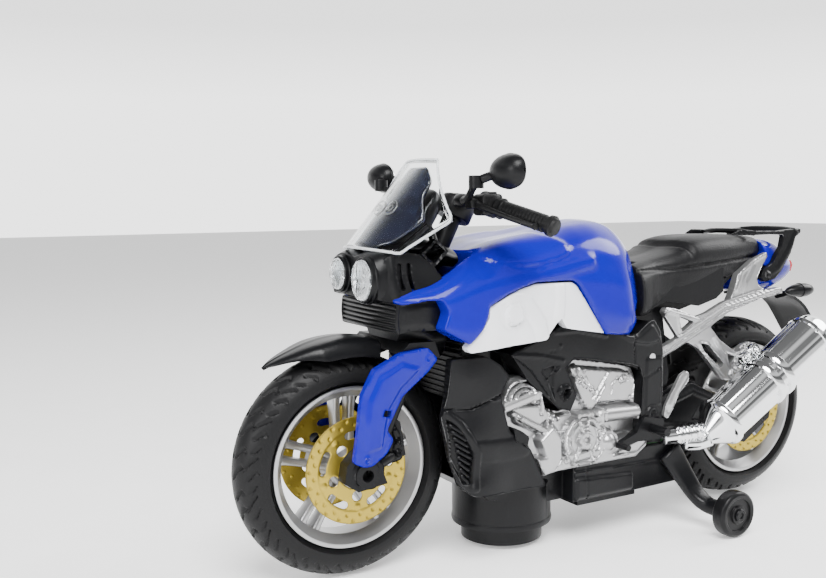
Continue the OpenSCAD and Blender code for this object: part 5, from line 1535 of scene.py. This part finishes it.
def build_bars():
    """Ribbed grips, switch blocks, levers and the top clamp; and the mirrors' glasses."""
    parts = []
    for s in (1, -1):
        inner = Vector((54.6, s * 25, 129.9))
        outer = Vector((45, s * 50, 122.3))
        axis = (outer - inner).normalized()
        reach = (outer - inner).length
        profile = [(-3.4, 0.4), (-3.4, 3.9), (-2.8, 4.1), (2.6, 4.1), (3.0, 3.6), (3.2, 2.9), (4.4, 2.9), (4.6,
            3.6), (5.4, 3.7), (5.6, 2.9)]
        at = 6.0
        while at < reach - 4.4:
            profile += [(at, 2.75), (at + 0.2, 3.05), (at + 0.8, 3.05), (at + 1.0, 2.75)]
            at += 1.35
        profile += [(reach - 3.0, 2.8), (reach - 2.8, 3.5), (reach - 1.4, 3.6), (reach - 1.1, 2.9), (reach - 0.2,
            2.7), (reach, 2.2), (reach, 0.3)]
        parts.append(turned("grip", profile, tuple(inner), tuple(axis), 48))
        parts.append(block("switches", (51.2, s * 25 - 3.9, 126.2), (59.4, s * 25 + 3.4, 133.6), 1.2))
        parts.append(block("button", (52.6, s * 25 - 1.4, 133.2), (55.6, s * 25 + 1.6, 134.3), 0.4))
        parts.append(tube("lever", [(59.4, s * 24.4, 130.2), (59.8, s * 28, 129.2), (58.4, s * 33, 127.6), (55.6,
            s * 39, 125.4), (51.4, s * 46, 122.8)],
                          [1.3, 1.2, 1.0, 0.85, 0.9], sides=14))
        parts.append(moved(turned("tip", [(-1.1, 0.1), (-0.8, 0.9), (0, 1.2), (0.8, 0.9), (1.1, 0.1)], (0, 0, 0),
            (0, 1, 0), 20), None, (51.2, s * 46.4, 122.7)))
        parts.append(tube("bar", [(52, s * 2, 131), (57, s * 9, 131.4), (59, s * 14, 131.6), (57.4, s * 20, 130.8),
            (54.6, s * 25, 129.9)], 2.3, sides=20))
        parts.append(block("perch", (58.4, s * 22 - 2, 128.6), (62, s * 22 + 3, 132), 0.8))
        parts.append(tube("stalk", [(60, s * 17.2, 131.4), (61.6, s * 22, 132.2), (64.4, s * 29, 135), (66, s * 34,
            136.9)], [1.7, 1.4, 1.2, 1.2], sides=14))
        post = (MIRROR_POST[0], s * MIRROR_POST[1], MIRROR_POST[2])
        parts.append(turned("post", [(-2.0, 0.2), (-2.0, 1.7), (1.9, 1.7), (1.9, 0.2)], post, (0, 0, 1), 28))
        stations = 22
        rings = []
        for i in range(stations + 1):
            t = math.pi * i / stations
            y = MIRROR_Y - 8.4 * math.cos(t) * (1.0 if t > math.pi / 2 else 0.92)
            r = max(0.05, math.sin(t)) ** 0.72
            rings.append([(59.4 + 5.9 * r * max(math.cos(a), 0) + 0.9 * r * min(math.cos(a), 0), s * y,
                MIRROR_Z + 5.7 * r * math.sin(a) + 0.02 * (y - 44))
                          for a in np.linspace(0, 2 * math.pi, 40, endpoint=False)])
        pts = [p for row in rings for p in row]
        cup = split_sharp(mesh_from("cup", pts, grid_faces(stations + 1, 40)), 60)
        seam = tube("seam", [(60.2 - 0.4, s * (MIRROR_Y + 7.7 * math.cos(a)),
            MIRROR_Z + 5.5 * math.sin(a)) for a in np.linspace(0, 2 * math.pi, 33)], 0.35, sides=6, per_span=1,
            cap=False)
        arm = tube("arm", [(64.9, s * 36.0, 138.3), (63.4, s * 38.4, 139.2), (62.2, s * 41, 139.8)], [1.5, 1.5,
            1.7], sides=14)
        eye = turned("eye", [(-2.2, 1.85), (-2.2, 2.5), (2.0, 2.5), (2.0, 1.85)], post, (0, 0, 1), 28)
        for piece in (cup, seam, arm, eye):
            paint(piece, "black_plastic")
        glass = mesh_from("glass", [(58.3, s * (MIRROR_Y + 6.6 * math.cos(a)),
            MIRROR_Z + 4.5 * math.sin(a)) for a in np.linspace(0, 2 * math.pi, 40, endpoint=False)],
                          [tuple(range(40))])
        paint(thicken(glass, 0.4), "chrome_trim")
        side_name = "left" if s > 0 else "right"
        mirror = join("mirror_skin_" + side_name, [cup, seam, arm, eye, glass])
        place(mirror, "mirror_" + side_name, "black_plastic", ["mirror_" + side_name])
    clamp_axis = (-math.sin(RAKE), 0, math.cos(RAKE))
    top = Vector((54.8, 0, 125))
    parts.append(turned("clamp", [(0, 3.7), (0, 6.2), (0.6, 6.7), (6.4, 6.7), (7.4, 6.1), (8.0, 5.0), (8.0, 0.3)],
        tuple(top), clamp_axis, 48))
    parts.append(turned("cap", [(7.8, 0.2), (7.8, 3.2), (9.0, 2.9), (9.4, 2.0), (9.4, 0.2)], tuple(top), clamp_axis, 6))
    dress(join("handlebar_skin", parts), "grip_black", ["handlebar"], "steering")


def build_outriggers():
    """Curved arms that sweep from the belly down to the stabilizer wheels."""
    parts = []
    for s in (1, -1):
        path = [(-32, s * 24.4, 31), (-35.4, s * 25.4, 25.6), (-38.6, s * 27.8, 19), (-41.4, s * 31.4, 12.6),
            (-43.4, s * 36, 9.2), (-44, s * 42.6, 9.2)]
        sizes = [5.6, 5.2, 4.6, 4.0, 3.5, 3.3]
        track = spline(path, 6)
        radii = np.interp(np.linspace(0, 1, len(track)), np.linspace(0, 1, len(sizes)), sizes)
        flat = np.interp(np.linspace(0, 1, len(track)), [0, 0.5, 0.8, 1], [0.42, 0.5, 0.8, 1.0])
        pts = []
        for i, p in enumerate(track):
            t = Vector(track[min(i + 1, len(track) - 1)] - track[max(i - 1, 0)]).normalized()
            wide = Vector((1, 0, 0))
            wide = (wide - t * wide.dot(t)).normalized()
            thin = t.cross(wide)
            for k in range(28):
                a = 2 * math.pi * k / 28
                c, w = math.cos(a), math.sin(a)
                c = math.copysign(abs(c) ** 0.65, c)
                w = math.copysign(abs(w) ** 0.65, w)
                pts.append(tuple(Vector(p) + wide * c * radii[i] + thin * w * radii[i] * flat[i]))
        parts.append(mesh_from("arm", pts, grid_faces(len(track), 28, ends=(1, 1))))
        parts.append(turned("pin", [(-8.0, 0.2), (-8.0, 1.5), (3.2, 1.5), (3.2, 2.5), (3.9, 2.6), (4.3, 2.2), (4.3,
            1.2), (3.8, 1.0), (3.8, 0.2)],
                            (-44, s * 48.3, 9.2), (0, s, 0), 32))
    dress(join("outrigger_arms", parts), "fairing_black", ["stabilizer_arms"])


BUILDERS += [build_subframes, build_exhaust, build_heel_guards, build_swingarm_skin, build_grab_rail, build_plate,
    build_bars, build_outriggers]

# ---------- the machine ----------

CAD_EDGE = 0.22


def dress_frame():
    """Gives each CAD node its slot's material and breaks its hard edges."""
    for entry in frame["record"]["subparts"]:
        node = NODES[entry["node"]]
        paint(node, entry["material_slot"])
        soften(node, CAD_EDGE)


make_camera()
make_studio()
MATS = looks()
dress_frame()
for build in BUILDERS:
    build()
